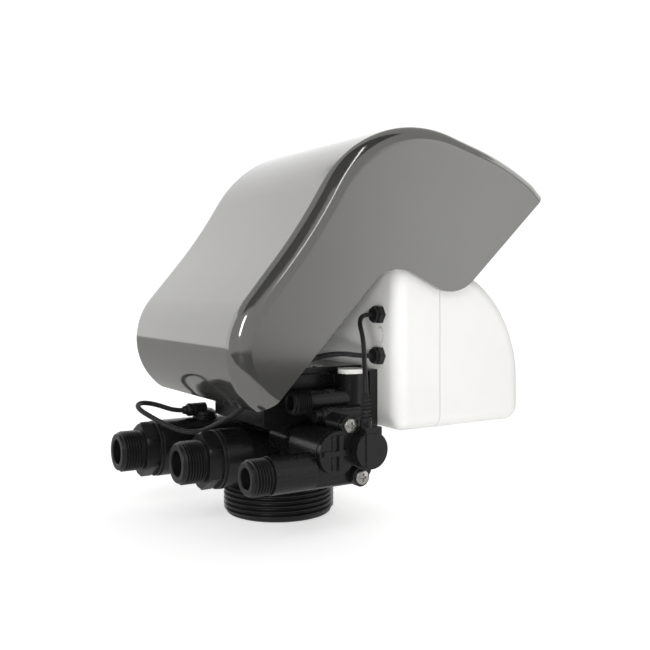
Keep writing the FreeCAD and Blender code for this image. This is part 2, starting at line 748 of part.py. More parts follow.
def make_drive():
    plate = box("gear_plate_blank", ("gear_plate_left", PLATE_FRONT, "housing_bottom + 4"),
                ("gear_plate_right", "gear_plate_y", "gear_plate_top"))
    bores = [cylinder("plate_shaft_bore", "shaft_radius + running_gap", "5",
                      ("0", "gear_plate_y + 1", "shaft_z"),
                      "-Y"),
             cylinder("plate_pin_bore", "idler_pin_radius", "5", ("0", "gear_plate_y + 1", IDLER_Z), "-Y"),
             cylinder("plate_motor_bore", "motor_shaft_radius + 3", "5",
                      (PINION_X, "gear_plate_y + 1", IDLER_Z),
                      "-Y")]
    bores += [cylinder(f"plate_hole_{i}", "1.5", "5", (x, "gear_plate_y + 1", z), "-Y")
              for i, (x, z) in enumerate(PLATE_CORNERS)]
    node("gear_plate", cut("gear_plate_solid", plate, bores))
    node("gear_screws", group("gear_screw_set", [
        pan_screw(f"gear_screw_{i}", "1.3", "2.8", "2", "gear_plate_thick + 7", (x, PLATE_FRONT, z), "Y")
        for i, (x, z) in enumerate(PLATE_CORNERS)]))

    width = num("gear_width")
    shaft = num("shaft_radius")
    node("drive_gear", coded("drive_gear_teeth", involute_gear(int(num("drive_teeth")), width, shaft),
                             ("0", "gear_start", "shaft_z"), "-Y"))
    # half a pitch of turn brings the idler's teeth to the gaps of the gears below and beside it
    idler = involute_gear(int(num("idler_teeth")), width, num("idler_pin_radius + running_gap"), 6.0,
                          width + 1.5, 0.5)
    node("idler_gear", coded("idler_gear_teeth", idler, ("0", "gear_start + 0.5", IDLER_Z), "-Y"))
    node("idler_pin", cylinder("idler_pin_rod", "idler_pin_radius", "housing_rear - 0.8 - gear_plate_y + "
                               "gear_plate_thick", ("0", "housing_rear - 0.8", IDLER_Z), "-Y"))
    pinion = coded("pinion_teeth_solid", involute_gear(int(num("pinion_teeth")), width),
                   (PINION_X, "gear_start", IDLER_Z), "-Y")
    rod = cylinder("motor_shaft_rod", "motor_shaft_radius", "18", (PINION_X, "gear_start + 1", IDLER_Z), "-Y")
    node("motor_pinion", fuse("motor_pinion_solid", [pinion, rod]))
    gearbox = cylinder("gearbox", "gearbox_radius", "gearbox_length", (PINION_X, PLATE_FRONT, IDLER_Z), "-Y")
    motor = cylinder("motor_can", "motor_radius", "motor_length",
                     (PINION_X, f"{PLATE_FRONT} - gearbox_length",
                                                                   IDLER_Z), "-Y")
    bore = cylinder("motor_shaft_bore", "motor_shaft_radius + running_gap", "gear_start + 1 - 18 - "
                    "gear_plate_y + gear_plate_thick + 12", (PINION_X, f"{PLATE_FRONT} + 1", IDLER_Z), "-Y")
    node("gear_motor", cut("gear_motor_solid", fuse("motor_blank", [gearbox, motor]), [bore]))

    shaft_start = "block_front + chamber_depth - stator_thick - 0.8"
    shaft_end = f"{PLATE_FRONT} - 2.4"
    node("drive_shaft", cylinder("drive_shaft_rod", "shaft_radius", f"{shaft_start} - ({shaft_end})",
                                 ("0", shaft_start, "shaft_z"), "-Y"))
    node("shaft_clip", ring("shaft_clip_ring", "shaft_radius", "shaft_radius + 2.5", "0.8",
                            ("0", f"{PLATE_FRONT} - 0.3", "shaft_z"), "-Y"))
    node("position_magnet", cylinder("magnet", "shaft_radius - 0.5", "2.5", ("0", shaft_end, "shaft_z"),
                                     "-Y"))
    board_y = f"{shaft_end} - 2.5 - 1.5"
    board = box("sensor_card", ("-11", f"{board_y} - 2.6", "housing_bottom + 4"),
                ("11", f"{board_y} - 1", "shaft_z + 12"))
    chip = box("sensor_chip", ("-2.5", f"{board_y} - 1", "shaft_z - 2"), ("2.5", board_y, "shaft_z + 2"))
    legs = [box(f"sensor_leg_{i}", (x, f"{board_y} - 1", "shaft_z + 8"),
                (f"{x} + 4", PLATE_FRONT, "shaft_z + 12"))
            for i, x in enumerate(("-11", "7"))]
    node("sensor_board", fuse("sensor_board_solid", [board, chip] + legs))


def make_rotary_valve():
    chamber_end = "block_front + chamber_depth"
    seat = ("0", chamber_end, "shaft_z")
    stator = cylinder("stator_blank", "chamber_radius - 0.2", "stator_thick", seat, "-Y")
    ports = [cylinder(f"stator_port_{i}", "valve_port_radius", "stator_thick + 2",
                      (x, f"{chamber_end} + 1", z), "-Y")
             for i, (x, z) in enumerate(VALVE_PORTS)]
    node("stator_disc", cut("stator_solid", stator, ports))
    rotor_at = ("0", f"{chamber_end} - stator_thick - running_gap", "shaft_z")
    rotor = cylinder("rotor_blank", "chamber_radius - 0.8", "rotor_thick", rotor_at, "-Y")
    socket = cylinder("rotor_socket", "shaft_radius", "rotor_thick + 1",
                      ("0", f"{chamber_end} - stator_thick - 0.8", "shaft_z"), "-Y")
    window = box("rotor_window", ("6", f"{chamber_end} - stator_thick - rotor_thick - 1", "shaft_z - 5"),
                 ("14", f"{chamber_end} - stator_thick + 1", "shaft_z + 5"))
    pocket = box("rotor_pocket", ("-14", f"{chamber_end} - stator_thick - 2.5", "shaft_z - 4"),
                 ("-6", f"{chamber_end} - stator_thick + 1", "shaft_z + 4"))
    node("rotor_disc", cut("rotor_solid", rotor, [socket, window, pocket]))
    spring_at = ("0", f"{chamber_end} - stator_thick - running_gap - rotor_thick", "shaft_z")
    node("rotor_spring", ring("rotor_spring_ring", "chamber_radius - 5", "chamber_radius - 2", "2.6",
                              spring_at,
                              "-Y"))

    cover = box("body_cover_plate", ("-block_half", COVER_FRONT, "block_bottom"),
                ("block_half", "block_front", "block_top"))
    ear = box("body_cover_ear", ("ear_left", COVER_FRONT, "ear_bottom"), ("1 - block_half", "block_front",
                                                                          "block_top"))
    ear_tip = box("body_cover_ear_tip", ("ear_left", COVER_FRONT, "block_top - 1"),
                  ("-block_half - lid_margin - 0.7", "block_front", "ear_top"))
    spigot = cylinder("body_cover_spigot", "chamber_radius - 0.15", "4.8",
                      ("0", "block_front - 0.5", "shaft_z"), "Y")
    bore = cylinder("body_cover_bore", "shaft_radius + running_gap", "30",
                    ("0", COVER_FRONT + " - 5", "shaft_z"),
                    "Y")
    groove = cylinder("seal_groove", "shaft_radius + 3", "5", ("0", COVER_FRONT + " - 1", "shaft_z"), "Y")
    holes = []
    for i, (x, z) in enumerate(COVER_CORNERS):
        holes += [cylinder(f"cover_hole_{i}", "screw_radius", "20", (x, COVER_FRONT + " - 5", z), "Y"),
                  cylinder(f"cover_sink_{i}", "screw_head_radius - 0.4", "4.2",
                           (x, COVER_FRONT + " - 1", z), "Y")]
        BODY_SCREWS.append(pan_screw(f"cover_screw_{i}", "screw_radius", "screw_head_radius - 0.6", "2.8",
                                     "body_screw_length", (x, f"{COVER_FRONT} + 3.2", z), "Y"))
    for i, (x, z) in enumerate(MOUNT_POINTS):
        holes.append(cylinder(f"cover_pilot_{i}", "1.6", "12", (x, COVER_FRONT + " - 7", z), "Y"))
    node("body_cover", cut("body_cover_solid", fuse("body_cover_blank", [cover, ear, ear_tip, spigot]),
                           [bore, groove] + holes))
    node("mounting_screws", group("mounting_screw_set", [
        pan_screw(f"mounting_screw_{i}", "1.6", "3.2", "2.2", "housing_wall + 4.6", (x, REAR_INSIDE, z), "Y")
        for i, (x, z) in enumerate(MOUNT_POINTS)]))
    node("shaft_seals", group("shaft_seal_set", [
        ring("shaft_seal_inner", "shaft_radius + running_gap", "shaft_radius + 3", "1.8",
             ("0", COVER_FRONT + " + 4", "shaft_z"), "-Y"),
        ring("shaft_seal_outer", "shaft_radius + running_gap", "shaft_radius + 3", "1.8",
             ("0", COVER_FRONT + " + 2", "shaft_z"), "-Y")]))


COVER_CORNERS = [(x, z) for x in ("-(block_half - 5)", "block_half - 5") for z in ("block_bottom + 5",
                                                                                 "block_top - 5")]

# ---------------------------------------------------------------- valve body

BODY_SCREWS = []
LID_POINTS = [(x, y) for x in ("-(block_half - 4.5)", "block_half - 4.5")
              for y in ("block_rear - 4.5", "block_rear - 23", "block_rear - 41")]
LID_LOW = "block_top + lid_gasket"
LID_HIGH = "block_top + lid_gasket + lid_thick"
LUGS = [("injector_y - 8", "injector_z + injector_radius + 2.5"),
        ("cell_y + 2.6", "cell_z - injector_radius - 3.8")]
CHECK_X = "brine_x - 8.5"
CHECK_Z = "brine_z - 8.2"
CHECK_FACE = "brine_y + 25.5"


def make_body():
    half, rear, front = "block_half", "block_rear", "block_front"
    solids = [
        cut("block", box("block_blank", (f"-{half}", front, "block_step"), (half, rear, "block_top")),
            [padded_outline("block_slope", "YZ_Plane", [
                ("block_rear + 1", "block_step - 0.6", "0"), ("block_rear + 1", "block_step + 7", "0"),
                ("core_rear - 0.6", "block_step - 0.6", "0")], "2 * block_half + 2")]),
        box("core", ("core_left", front, "block_bottom"), ("core_right", "core_rear", "block_step + 1")),
        box("front_flange", (f"-{half}", front, "block_bottom"), (half, f"{front} + 12", "block_step + 1")),
        cylinder("base", "base_radius", "block_bottom + 4 - collar_length", ("0", "0", "collar_length")),
        cylinder("outlet_pipe", "port_radius", "outlet_face - drain_back",
                 ("outlet_x", "drain_back", "outlet_z"),
                 "Y"),
        ball("outlet_end", "port_radius", ("outlet_x", "drain_back", "outlet_z")),
        cylinder("outlet_branch", "port_radius", "outlet_x", ("0", "drain_back", "outlet_z"), "X"),
        cylinder("sensor_boss", "meter_sensor_radius + 2", "port_radius + 1",
                 ("outlet_x", "meter_sensor_y", "outlet_z")),
        cylinder("inlet_pipe", "port_radius", "inlet_face - inlet_shoulder", ("inlet_x", "inlet_shoulder",
                                                                              "inlet_z"), "Y"),
        cone("inlet_cone", "port_radius", "port_radius - 11", "inlet_taper", ("inlet_x", "inlet_shoulder",
                                                                            "inlet_z"), "-Y"),
        cylinder("drain_pipe", "drain_radius", "drain_face - drain_back",
                 ("drain_x", "drain_back", "drain_z"),
                 "Y"),
        ball("drain_end", "drain_radius", ("drain_x", "drain_back", "drain_z")),
        cylinder("drain_branch", "drain_radius", "-drain_x - 20", ("drain_x", "drain_back", "drain_z"), "X"),
        box("barrel_web", ("injector_face", "cell_y", "cell_z - 5"),
            ("barrel_end + 8", "injector_y", "cell_z + 5")),
        cylinder("brine_barrel", "brine_radius", "brine_head - brine_seat + 5",
                 ("brine_x", "brine_y", "brine_seat - 5")),
        cylinder("brine_stalk", "brine_radius - 3", "brine_seat - cell_z", ("brine_x", "brine_y", "cell_z")),
        box("brine_foot", ("brine_x - brine_radius + 3", "brine_y", "cell_z - 4"),
            ("brine_x + brine_radius - 3", "cell_y", "cell_z + 4")),
        cylinder("brine_pipe", "brine_pipe_radius", "brine_pipe_face - brine_y",
                 ("brine_x", "brine_y", "brine_z"),
                 "Y"),
        box("brine_web", ("brine_x", "brine_y - 4", "brine_seat"),
            (f"-{half} + 1", "brine_y + 4", "brine_head")),
        cylinder("check_boss", "5.2", f"{CHECK_FACE} - brine_y", (CHECK_X, "brine_y", CHECK_Z), "Y"),
    ]
    for name, y, z, radius in (("injector", "injector_y", "injector_z", "injector_radius"),
                               ("cell", "cell_y", "cell_z", "injector_radius - 0.7")):
        solids += [cylinder(f"{name}_barrel", radius, "barrel_end - injector_face", ("injector_face", y, z),
                            "X"),
                   cone(f"{name}_taper", radius, f"{radius} - 4", "barrel_taper", ("barrel_end", y, z), "X"),
                   cylinder(f"{name}_neck", f"{radius} - 4.2", "core_left + 3 - barrel_end",
                            ("barrel_end", y, z), "X")]
    for i, (y, z) in enumerate(LUGS):
        solids.append(cylinder(f"lug_{i}", "lug_radius", "14", ("injector_face", y, z), "X"))
    blank = chain("body_blank", solids)

    chamber_end = f"{front} + chamber_depth"
    holes = [
        cylinder("collar_room", "collar_radius + 0.3", "collar_length + 5", ("0", "0", "-5")),
        cylinder("riser_hole", "riser_bore", "24", ("0", "0", "collar_length - 1")),
        cylinder("riser_passage", "7", "50", ("0", "0", "collar_length")),
        cylinder("outlet_hole", "port_bore", "outlet_face - drain_back + 1",
                 ("outlet_x", "drain_back", "outlet_z"),
                 "Y"),
        cylinder("outlet_cross", "9", "26", ("outlet_x - 26", "drain_back", "outlet_z"), "X"),
        cylinder("outlet_rise", "5", "40", ("outlet_x - 26", "drain_back + 9", "outlet_z")),
        cylinder("inlet_hole", "port_bore", "inlet_face - 21", ("inlet_x", "22", "inlet_z"), "Y"),
        cylinder("inlet_rise", "5", "40", ("inlet_x - 4.5", "3", "inlet_z")),
        cylinder("inlet_link", "5", "21", ("inlet_x - 4.5", "3", "inlet_z"), "Y"),
        box("gallery", ("-(block_half - 9)", f"{chamber_end} + 8", "block_top - 24"),
            ("block_half - 9", "block_rear - 8", "block_top + 1")),
        cylinder("chamber", "chamber_radius", "chamber_depth + 1", ("0", f"{front} - 1", "shaft_z"), "Y"),
        cylinder("drain_hole", "drain_bore", "drain_face - drain_back + 1",
                 ("drain_x", "drain_back", "drain_z"),
                 "Y"),
        box("cover_seat", ("injector_face - 20", "-60", "0"),
            ("injector_face", "injector_y + injector_radius + 0.5",
                                                               "100")),
        cylinder("injector_hole", "injector_bore", "28", ("injector_face - 1", "injector_y", "injector_z"),
                 "X"),
        cylinder("cell_hole", "cell_bore", "28", ("injector_face - 1", "cell_y", "cell_z"), "X"),
        cylinder("brine_hole", "brine_bore", "brine_head - brine_seat + 1",
                 ("brine_x", "brine_y", "brine_seat")),
        cylinder("brine_drop", "brine_bore - 2", "10", ("brine_x", "brine_y", "brine_seat - 9")),
        cylinder("brine_pipe_hole", "brine_bore - 0.5", "brine_pipe_face - brine_y + 1",
                 ("brine_x", "brine_y", "brine_z"), "Y"),
        cylinder("check_hole", "3.5", "12", (CHECK_X, f"{CHECK_FACE} - 10", CHECK_Z), "Y"),
        cylinder("sensor_hole", "meter_sensor_radius", "10", ("outlet_x", "meter_sensor_y",
                                                               "outlet_z + port_radius - 4.5")),
    ]
    for i, (x, z) in enumerate(VALVE_PORTS):
        holes.append(cylinder(f"chamber_port_{i}", "valve_port_radius", "9", (x, f"{chamber_end} - 0.5", z),
                              "Y"))
    for i, (x, z) in enumerate(COVER_CORNERS):
        holes.append(cylinder(f"body_pilot_{i}", "screw_radius", "body_screw_length - 1.5",
                              (x, f"{front} - 0.5", z), "Y"))
    for i, (x, y) in enumerate(LID_POINTS):
        holes.append(cylinder(f"lid_pilot_{i}", "screw_radius", "body_screw_length",
                              (x, y, "block_top + 4 - body_screw_length")))
    for i, (y, z) in enumerate(LUGS):
        holes.append(cylinder(f"lug_pilot_{i}", "screw_radius", "11.5", ("injector_face - 0.5", y, z), "X"))
    node("valve_body", cut("body_solid", blank, holes))

    gasket = box("gasket_blank", (f"-{half} + 1", f"{chamber_end}", "block_top"),
                 (f"{half} - 1", f"{rear} - 1", LID_LOW))
    gasket_hole = box("gasket_hole", ("-(block_half - 9)", f"{chamber_end} + 8", "block_top - 1"),
                      ("block_half - 9", "block_rear - 8", "block_top + 3"))
    passing = [cylinder(f"gasket_screw_hole_{i}", "screw_radius", "4", (x, y, "block_top - 1"))
               for i, (x, y) in enumerate(LID_POINTS)]
    node("top_gasket", cut("gasket_solid", gasket, [gasket_hole] + passing))
    lid = box("lid_blank", (f"-{half} - lid_margin", COVER_FRONT, LID_LOW),
              (f"{half} + lid_margin", f"{rear} + lid_margin", LID_HIGH))
    passing = [cylinder(f"lid_hole_{i}", "screw_radius", "10", (x, y, "block_top"))
               for i, (x, y) in enumerate(LID_POINTS)]
    node("top_cover", cut("lid_solid", lid, passing))
    for i, (x, y) in enumerate(LID_POINTS):
        BODY_SCREWS.append(pan_screw(f"lid_screw_{i}", "screw_radius", "screw_head_radius - 0.6", "2.8",
                                     "body_screw_length", (x, y, LID_HIGH), "-Z"))
    node("body_screws", group("body_screw_set", BODY_SCREWS))


def make_collar():
    top = "collar_length - collar_neck"
    root = "collar_radius - collar_thread_depth - 0.5"
    thread = threaded_tube(num("collar_radius"), num("collar_thread_depth"), num("collar_pitch"),
                           num(top), num("collar_bore"), 1.9)
    solid = coded("collar_thread", thread, ("0", "0", top), "-Z")
    neck = ring("collar_neck_ring", "collar_bore", root, "collar_neck + 0.5", ("0", "0", f"{top} - 0.5"))
    web = ring("collar_web", "riser_bore", "collar_bore + 0.5", "5", ("0", "0", "collar_length - 5"))
    groove = cylinder("riser_groove", "riser_bore + 2", "2.5", ("0", "0", "collar_length - 3.8"))
    node("tank_collar", cut("collar_solid", fuse("collar_blank", [solid, neck, web]), [groove]))
    node("base_seals", group("base_seal_set", [
        ring("riser_seal", "riser_bore", "riser_bore + 2", "2.5", ("0", "0", "collar_length - 3.8")),
        ring("collar_seal", root, "collar_radius - 0.9", "collar_neck", ("0", "0", top))]))


def make_ports():
    for name, x, z, face in (("outlet", "outlet_x", "outlet_z", "outlet_face"),
                             ("inlet", "inlet_x", "inlet_z", "inlet_face")):
        start = f"{face} + seal_thick"
        hexagon = prism(f"{name}_hex", 6, "port_flats / 2 / cos(30)", "port_hex_length",
                        (x, f"{start} + port_flange", z), "Y")
        flange = cylinder(f"{name}_flange", "port_radius - 0.2", "port_flange", (x, start, z), "Y")
        tail = cylinder(f"{name}_tail", "port_bore - 0.05", "12", (x, f"{start} + 1 - 12", z), "Y")
        hole = cylinder(f"{name}_way", "port_hole", "60", (x, f"{start} - 13", z), "Y")
        solid = cut(f"{name}_blank", fuse(f"{name}_outside", [hexagon, flange, tail]), [hole])
        thread = threaded_tube(num("port_thread_radius"), num("port_thread_depth"), num("port_pitch"),
                               num("port_thread_length"), num("port_hole"), 2.0)
        stub = coded(f"{name}_thread", thread, (x, f"{start} + port_flange + port_hex_length", z), "Y")
        node(f"{name}_adapter", fuse(f"{name}_adapter_solid", [solid, stub]))
    node("adapter_seals", group("adapter_seal_set", [
        ring("outlet_seal", "port_bore", "port_radius - 0.8", "seal_thick",
             ("outlet_x", "outlet_face", "outlet_z"),
             "Y"),
        ring("inlet_seal", "port_bore", "port_radius - 0.8", "seal_thick",
             ("inlet_x", "inlet_face", "inlet_z"),
             "Y")]))
    drain = threaded_tube(num("drain_thread_radius"), num("port_thread_depth"), num("port_pitch"),
                          num("drain_thread_length"), num("drain_bore"), 2.6)
    node("drain_spigot", coded("drain_thread", drain, ("drain_x", "drain_face", "drain_z"), "Y"))
    brine = threaded_tube(num("brine_thread_radius"), num("brine_thread_depth"), num("brine_pitch"),
                          num("brine_thread_length"), num("brine_bore - 0.5"), 1.6)
    node("brine_spigot", coded("brine_thread", brine, ("brine_x", "brine_pipe_face", "brine_z"), "Y"))


def make_meter():
    mid_y = "meter_sensor_y"
    length = "turbine_length + 10"
    start = f"{mid_y} - turbine_length / 2 - 5"
    outer = "port_bore - 0.1"

    def spider(name, y):
        hub = cylinder(f"{name}_hub", "3", "2.5", ("outlet_x", y, "outlet_z"), "Y")
        arms = [box(f"{name}_arm_across", (f"outlet_x - ({outer}) + 0.8", y, "outlet_z - 0.8"),
                    (f"outlet_x + ({outer}) - 0.8", f"{y} + 2.5", "outlet_z + 0.8")),
                box(f"{name}_arm_up", ("outlet_x - 0.8", y, f"outlet_z - ({outer}) + 0.8"),
                    ("outlet_x + 0.8", f"{y} + 2.5", f"outlet_z + ({outer}) - 0.8"))]
        return [hub] + arms

    bore = cylinder("meter_axle_bore", "axle_radius + running_gap", "60",
                    ("outlet_x", f"{start} - 10", "outlet_z"),
                    "Y")
    tube = ring("meter_tube", f"{outer} - 1.2", outer, length, ("outlet_x", start, "outlet_z"), "Y")
    node("meter_cage", cut("meter_cage_solid", fuse("meter_cage_blank", [tube] + spider("meter_rear", start)),
                           [bore]))
    cap_at = f"{start} + {length}"
    rim = ring("meter_cap_rim", f"{outer} - 1.2", outer, "2.5", ("outlet_x", cap_at, "outlet_z"), "Y")
    bore_cap = cylinder("meter_cap_bore", "axle_radius + running_gap", "60",
                        ("outlet_x", f"{start} - 10", "outlet_z"), "Y")
    node("meter_cap", cut("meter_cap_solid", fuse("meter_cap_blank", [rim] + spider("meter_front", cap_at)),
                          [bore_cap]))
    hub = cylinder("turbine_hub", "3.2", "turbine_length",
                   ("outlet_x", f"{mid_y} - turbine_length / 2", "outlet_z"),
                   "Y")
    axle = cylinder("turbine_axle", "axle_radius", f"{length} + 2",
                    ("outlet_x", f"{start} + 0.25", "outlet_z"), "Y")
    blades = [twisted_blade(3.0, num("turbine_radius"), num("turbine_length"), 1.2, 60 * math.pi / 180,
                            2 * math.pi * i / 5) for i in range(5)]
    wheel = blades[0].multiFuse(blades[1:])
    fins = coded("turbine_fins", wheel, ("outlet_x", f"{mid_y} - turbine_length / 2", "outlet_z"), "Y")
    node("meter_turbine", fuse("turbine_solid", [hub, axle, fins]))

    top = "outlet_z + port_radius + 1"
    head = cylinder("sensor_body", "meter_sensor_radius - 0.1", "5.4",
                    ("outlet_x", mid_y, "outlet_z + port_radius - 4.4"))
    cap = cylinder("sensor_cap", "meter_sensor_radius + 1.2", "2.6", ("outlet_x", mid_y, top))
    dome = cone("sensor_dome", "meter_sensor_radius + 1.2", "meter_sensor_radius - 1.4", "1.6",
                ("outlet_x", mid_y, f"{top} + 2.6"))
    nose = cylinder("sensor_nose", "meter_nose_radius", "meter_nose_length", ("outlet_x", mid_y, NOSE_Z), "Y")
    tail = cone("sensor_tail", "meter_nose_radius - 0.8", "meter_lead_diameter - 0.8", "3.5",
                ("outlet_x", f"{mid_y} + meter_nose_length", NOSE_Z), "Y")
    node("meter_sensor", fuse("sensor_solid", [head, cap, dome, nose, tail]))


NOSE_Z = "outlet_z + port_radius + 5.3"


def twisted_blade(inner, outer, length, thick, twist, start):
    """One turbine blade about Z: a flat slice swept up the axis while it turns."""
    steps = 4
    wires = []
    for i in range(steps + 1):
        angle = start + twist * i / steps
        along = Vector(math.cos(angle), math.sin(angle), 0)
        side = Vector(-along.y, along.x, 0) * (thick / 2)
        height = Vector(0, 0, length * i / steps)
        inside, outside = along * (inner - 1), along * outer
        wires.append(Part.makePolygon([inside - side + height, outside - side + height,
                                       outside + side + height, inside + side + height,
                                       inside - side + height]))
    return Part.makeLoft(wires, True, True)


def make_brine_valve():
    seat = ("brine_x", "brine_y", "brine_seat")
    head = cylinder("poppet_head", "brine_bore - 0.1", "4", seat)
    stem = cylinder("poppet_stem", "2", "15", ("brine_x", "brine_y", "brine_seat + 4"))
    node("brine_poppet", fuse("poppet_solid", [head, stem]))
    cap_low = "brine_head"
    disc = cylinder("cap_disc", "brine_radius - 0.3", "brine_cap_thick", ("brine_x", "brine_y", cap_low))
    plug = cylinder("cap_plug", "brine_bore - 0.05", "10", ("brine_x", "brine_y", f"{cap_low} - 9"))
    guide = cylinder("cap_guide", "2 + running_gap", "9 + 2", ("brine_x", "brine_y", f"{cap_low} - 11"))
    node("brine_cap", cut("brine_cap_solid", fuse("brine_cap_blank", [disc, plug]), [guide]))
    node("brine_spring", coded("brine_coil", coil(3.3, 0.35, num("brine_head - 9 - brine_seat - 4") - 0.1, 6),
                               ("brine_x", "brine_y", "brine_seat + 4.05 + 0.35")))
    plug_body = cylinder("check_cap", "3.9", "7", (CHECK_X, CHECK_FACE, CHECK_Z), "Y")
    plug_ring = cylinder("check_ring", "5", "2.6", (CHECK_X, CHECK_FACE, CHECK_Z), "Y")
    plug_tail = cylinder("check_tail", "3.45", "6", (CHECK_X, f"{CHECK_FACE} - 6", CHECK_Z), "Y")
    node("check_plug", fuse("check_plug_solid", [plug_body, plug_ring, plug_tail]))


def coil(radius, wire, height, turns):
    """A compression spring about Z, from the middle of its lowest wire, filling the height."""
    rise = height - 2 * wire
    helix = Part.makeHelix(rise / turns, rise, radius)
    profile = Part.Wire([Part.makeCircle(wire, Vector(radius, 0, 0), Vector(0, 1, 0))])
    return Part.Wire(helix).makePipeShell([profile], True, True)


def make_injector():
    face = "injector_face"

    def lobes(name, near, thick, spare):
        parts = [cylinder(f"{name}_left", f"injector_radius - {spare}", thick,
                          (near, "injector_y", "injector_z"),
                          "-X"),
                 cylinder(f"{name}_right", f"injector_radius - 0.7 - {spare}", thick,
                          (near, "cell_y", "cell_z"),
                          "-X"),
                 box(f"{name}_web", (f"{near} - ({thick})", "cell_y", "cell_z - 9"),
                     (near, "injector_y", "cell_z + 11"))]
        parts += [cylinder(f"{name}_lug_{i}", f"lug_radius - {spare}", thick, (near, y, z), "-X")
                  for i, (y, z) in enumerate(LUGS)]
        return chain(name, parts)

    def clear_holes(name, near, depth, radius):
        return [cylinder(f"{name}_hole_{i}", radius, depth, (f"{near} + 1", y, z), "-X")
                for i, (y, z) in enumerate(LUGS)]

    gasket = lobes("gasket_lobes", face, "cover_gasket", "0.6")
    ways = [cylinder("gasket_way_left", "injector_bore", "4", (f"{face} + 1", "injector_y", "injector_z"),
                     "-X"),
            cylinder("gasket_way_right", "cell_bore", "4", (f"{face} + 1", "cell_y", "cell_z"), "-X")]
    node("injector_gasket", cut("injector_gasket_solid", gasket,
                                ways + clear_holes("gasket_screw", face, "5", "screw_radius")))
    cover_face = f"{face} - cover_gasket"
    outside = f"{cover_face} - cover_thick"
    cover = lobes("cover_lobes", cover_face, "cover_thick", "0")
    ribs = [box("rib_up", (f"{outside} - rib_height", "injector_y - 1.3 - rib_width / 2",
                           "injector_z - injector_radius + 2.2"),
                (f"{outside} + 0.5", "injector_y - 1.3 + rib_width / 2",
                 "injector_z + injector_radius - 2.2")),
            box("rib_thin", (f"{outside} - rib_height / 2", "injector_y + 3.2",
                             "injector_z - injector_radius + 2.6"),
                (f"{outside} + 0.5", "injector_y + 4.2", "injector_z + injector_radius - 2.6")),
            box("rib_across", (f"{outside} - rib_height", "cell_y + plug_radius + 0.8",
                               "injector_z - rib_width / 2"),
                (f"{outside} + 0.5", "injector_y + injector_radius - 2.2", "injector_z + rib_width / 2"))]
    pins = [cylinder(f"cell_pin_hole_{i}", "cell_pin_radius", "20", (f"{face} + 10", "cell_y", z), "-X")
            for i, z in enumerate(PIN_SPOTS)]
    node("injector_cover", cut("injector_cover_solid", fuse("cover_blank", [cover] + ribs),
                               clear_holes("cover_screw", cover_face, "8", "screw_radius") + pins))
    node("injector_screws", group("injector_screw_set", [
        pan_screw(f"injector_screw_{i}", "screw_radius", "screw_head_radius", "screw_head_height",
                  "cover_thick + cover_gasket + 10", (outside, y, z), "X") for i, (y, z) in enumerate(LUGS)]))
    node("cell_pins", group("cell_pin_set", [
        cylinder(f"cell_pin_{i}", "cell_pin_radius", "cover_thick + cover_gasket + 20",
                 (f"{outside} - 3", "cell_y", z), "X") for i, z in enumerate(PIN_SPOTS)]))

    throat = turned([(1.2, 0), (3.5, 0), (1.2, 6), (1.6, 12), (3.4, 22), (7.9, 22), (7.9, 18), (6, 17),
                     (6, 4),
                     (7.9, 3), (7.9, 0)][1:])
    node("injector_nozzle", coded("nozzle", throat, (face, "injector_y", "injector_z"), "X"))
    node("injector_screen", ring("screen_tube", "cell_bore - 1", "cell_bore - 0.1", "18",
                                 (face, "cell_y", "cell_z"), "X"))

    back = f"{outside} - plug_gap"
    front_face = f"{back} - plug_thick"
    disc = cylinder("plug_disc", "plug_radius", "plug_thick", (back, "cell_y", "cell_z"), "-X")
    bar = box("plug_bar", (f"{front_face} - 0.8", "cell_y - 3.2", "cell_z - plug_radius + 1.4"),
              (f"{front_face} + 1", "cell_y + 4.6", "cell_z + plug_radius - 1"))
    tower = box("plug_tower", (front_face, "cell_y - 6.6", "cell_z + 4"),
                (f"{back} - 1", "cell_y + 4.6", "cell_z + plug_radius + 2.5"))
    collar = cylinder("plug_collar", "3.4", "4.2", (PLUG_X, BOOT_Y, "cell_z + plug_radius + 2"))
    sockets = [cylinder(f"plug_socket_{i}", "cell_pin_radius", "4", (f"{back} + 1", "cell_y", z), "-X")
               for i, z in enumerate(PIN_SPOTS)]
    node("cell_plug", cut("cell_plug_solid", fuse("cell_plug_blank", [disc, bar, tower, collar]), sockets))
    boot_low = "cell_z + plug_radius + 6.2"
    boot = [cone("boot_core", "2.4", "1.9", "16", (PLUG_X, BOOT_Y, boot_low))]
    for i in range(6):
        boot.append(cylinder(f"boot_rib_{i}", f"3.0 - {i} * 0.13", "1.1", (PLUG_X, BOOT_Y,
                                                                          f"{boot_low} + {i} * 2.1 + 0.7")))
    node("cell_boot", fuse("cell_boot_solid", boot))


PIN_SPOTS = ["cell_z - cell_pin_reach", "cell_z + cell_pin_reach"]
PLUG_X = "injector_face - cover_gasket - cover_thick - plug_gap - plug_thick / 2"
BOOT_Y = "cell_y + 2.1"

# ---------------------------------------------------------------- leads

# the thin lead of the cell plug: from the upper gland, over and down into the boot
CELL_ROUTE = [
    (-57, -36, 130), (-57.2, -30.2, 130.2), (-59.2, -25.2, 128.2), (-63.2, -22, 124.2), (-69.2, -20, 118),
    (-76.4, -16, 110.2), (-83.6, -11.4, 102.8), (-89, -8.2, 97), (-91.8, -6.7, 91.6), (-92.15, -6.5, 86.3),
]
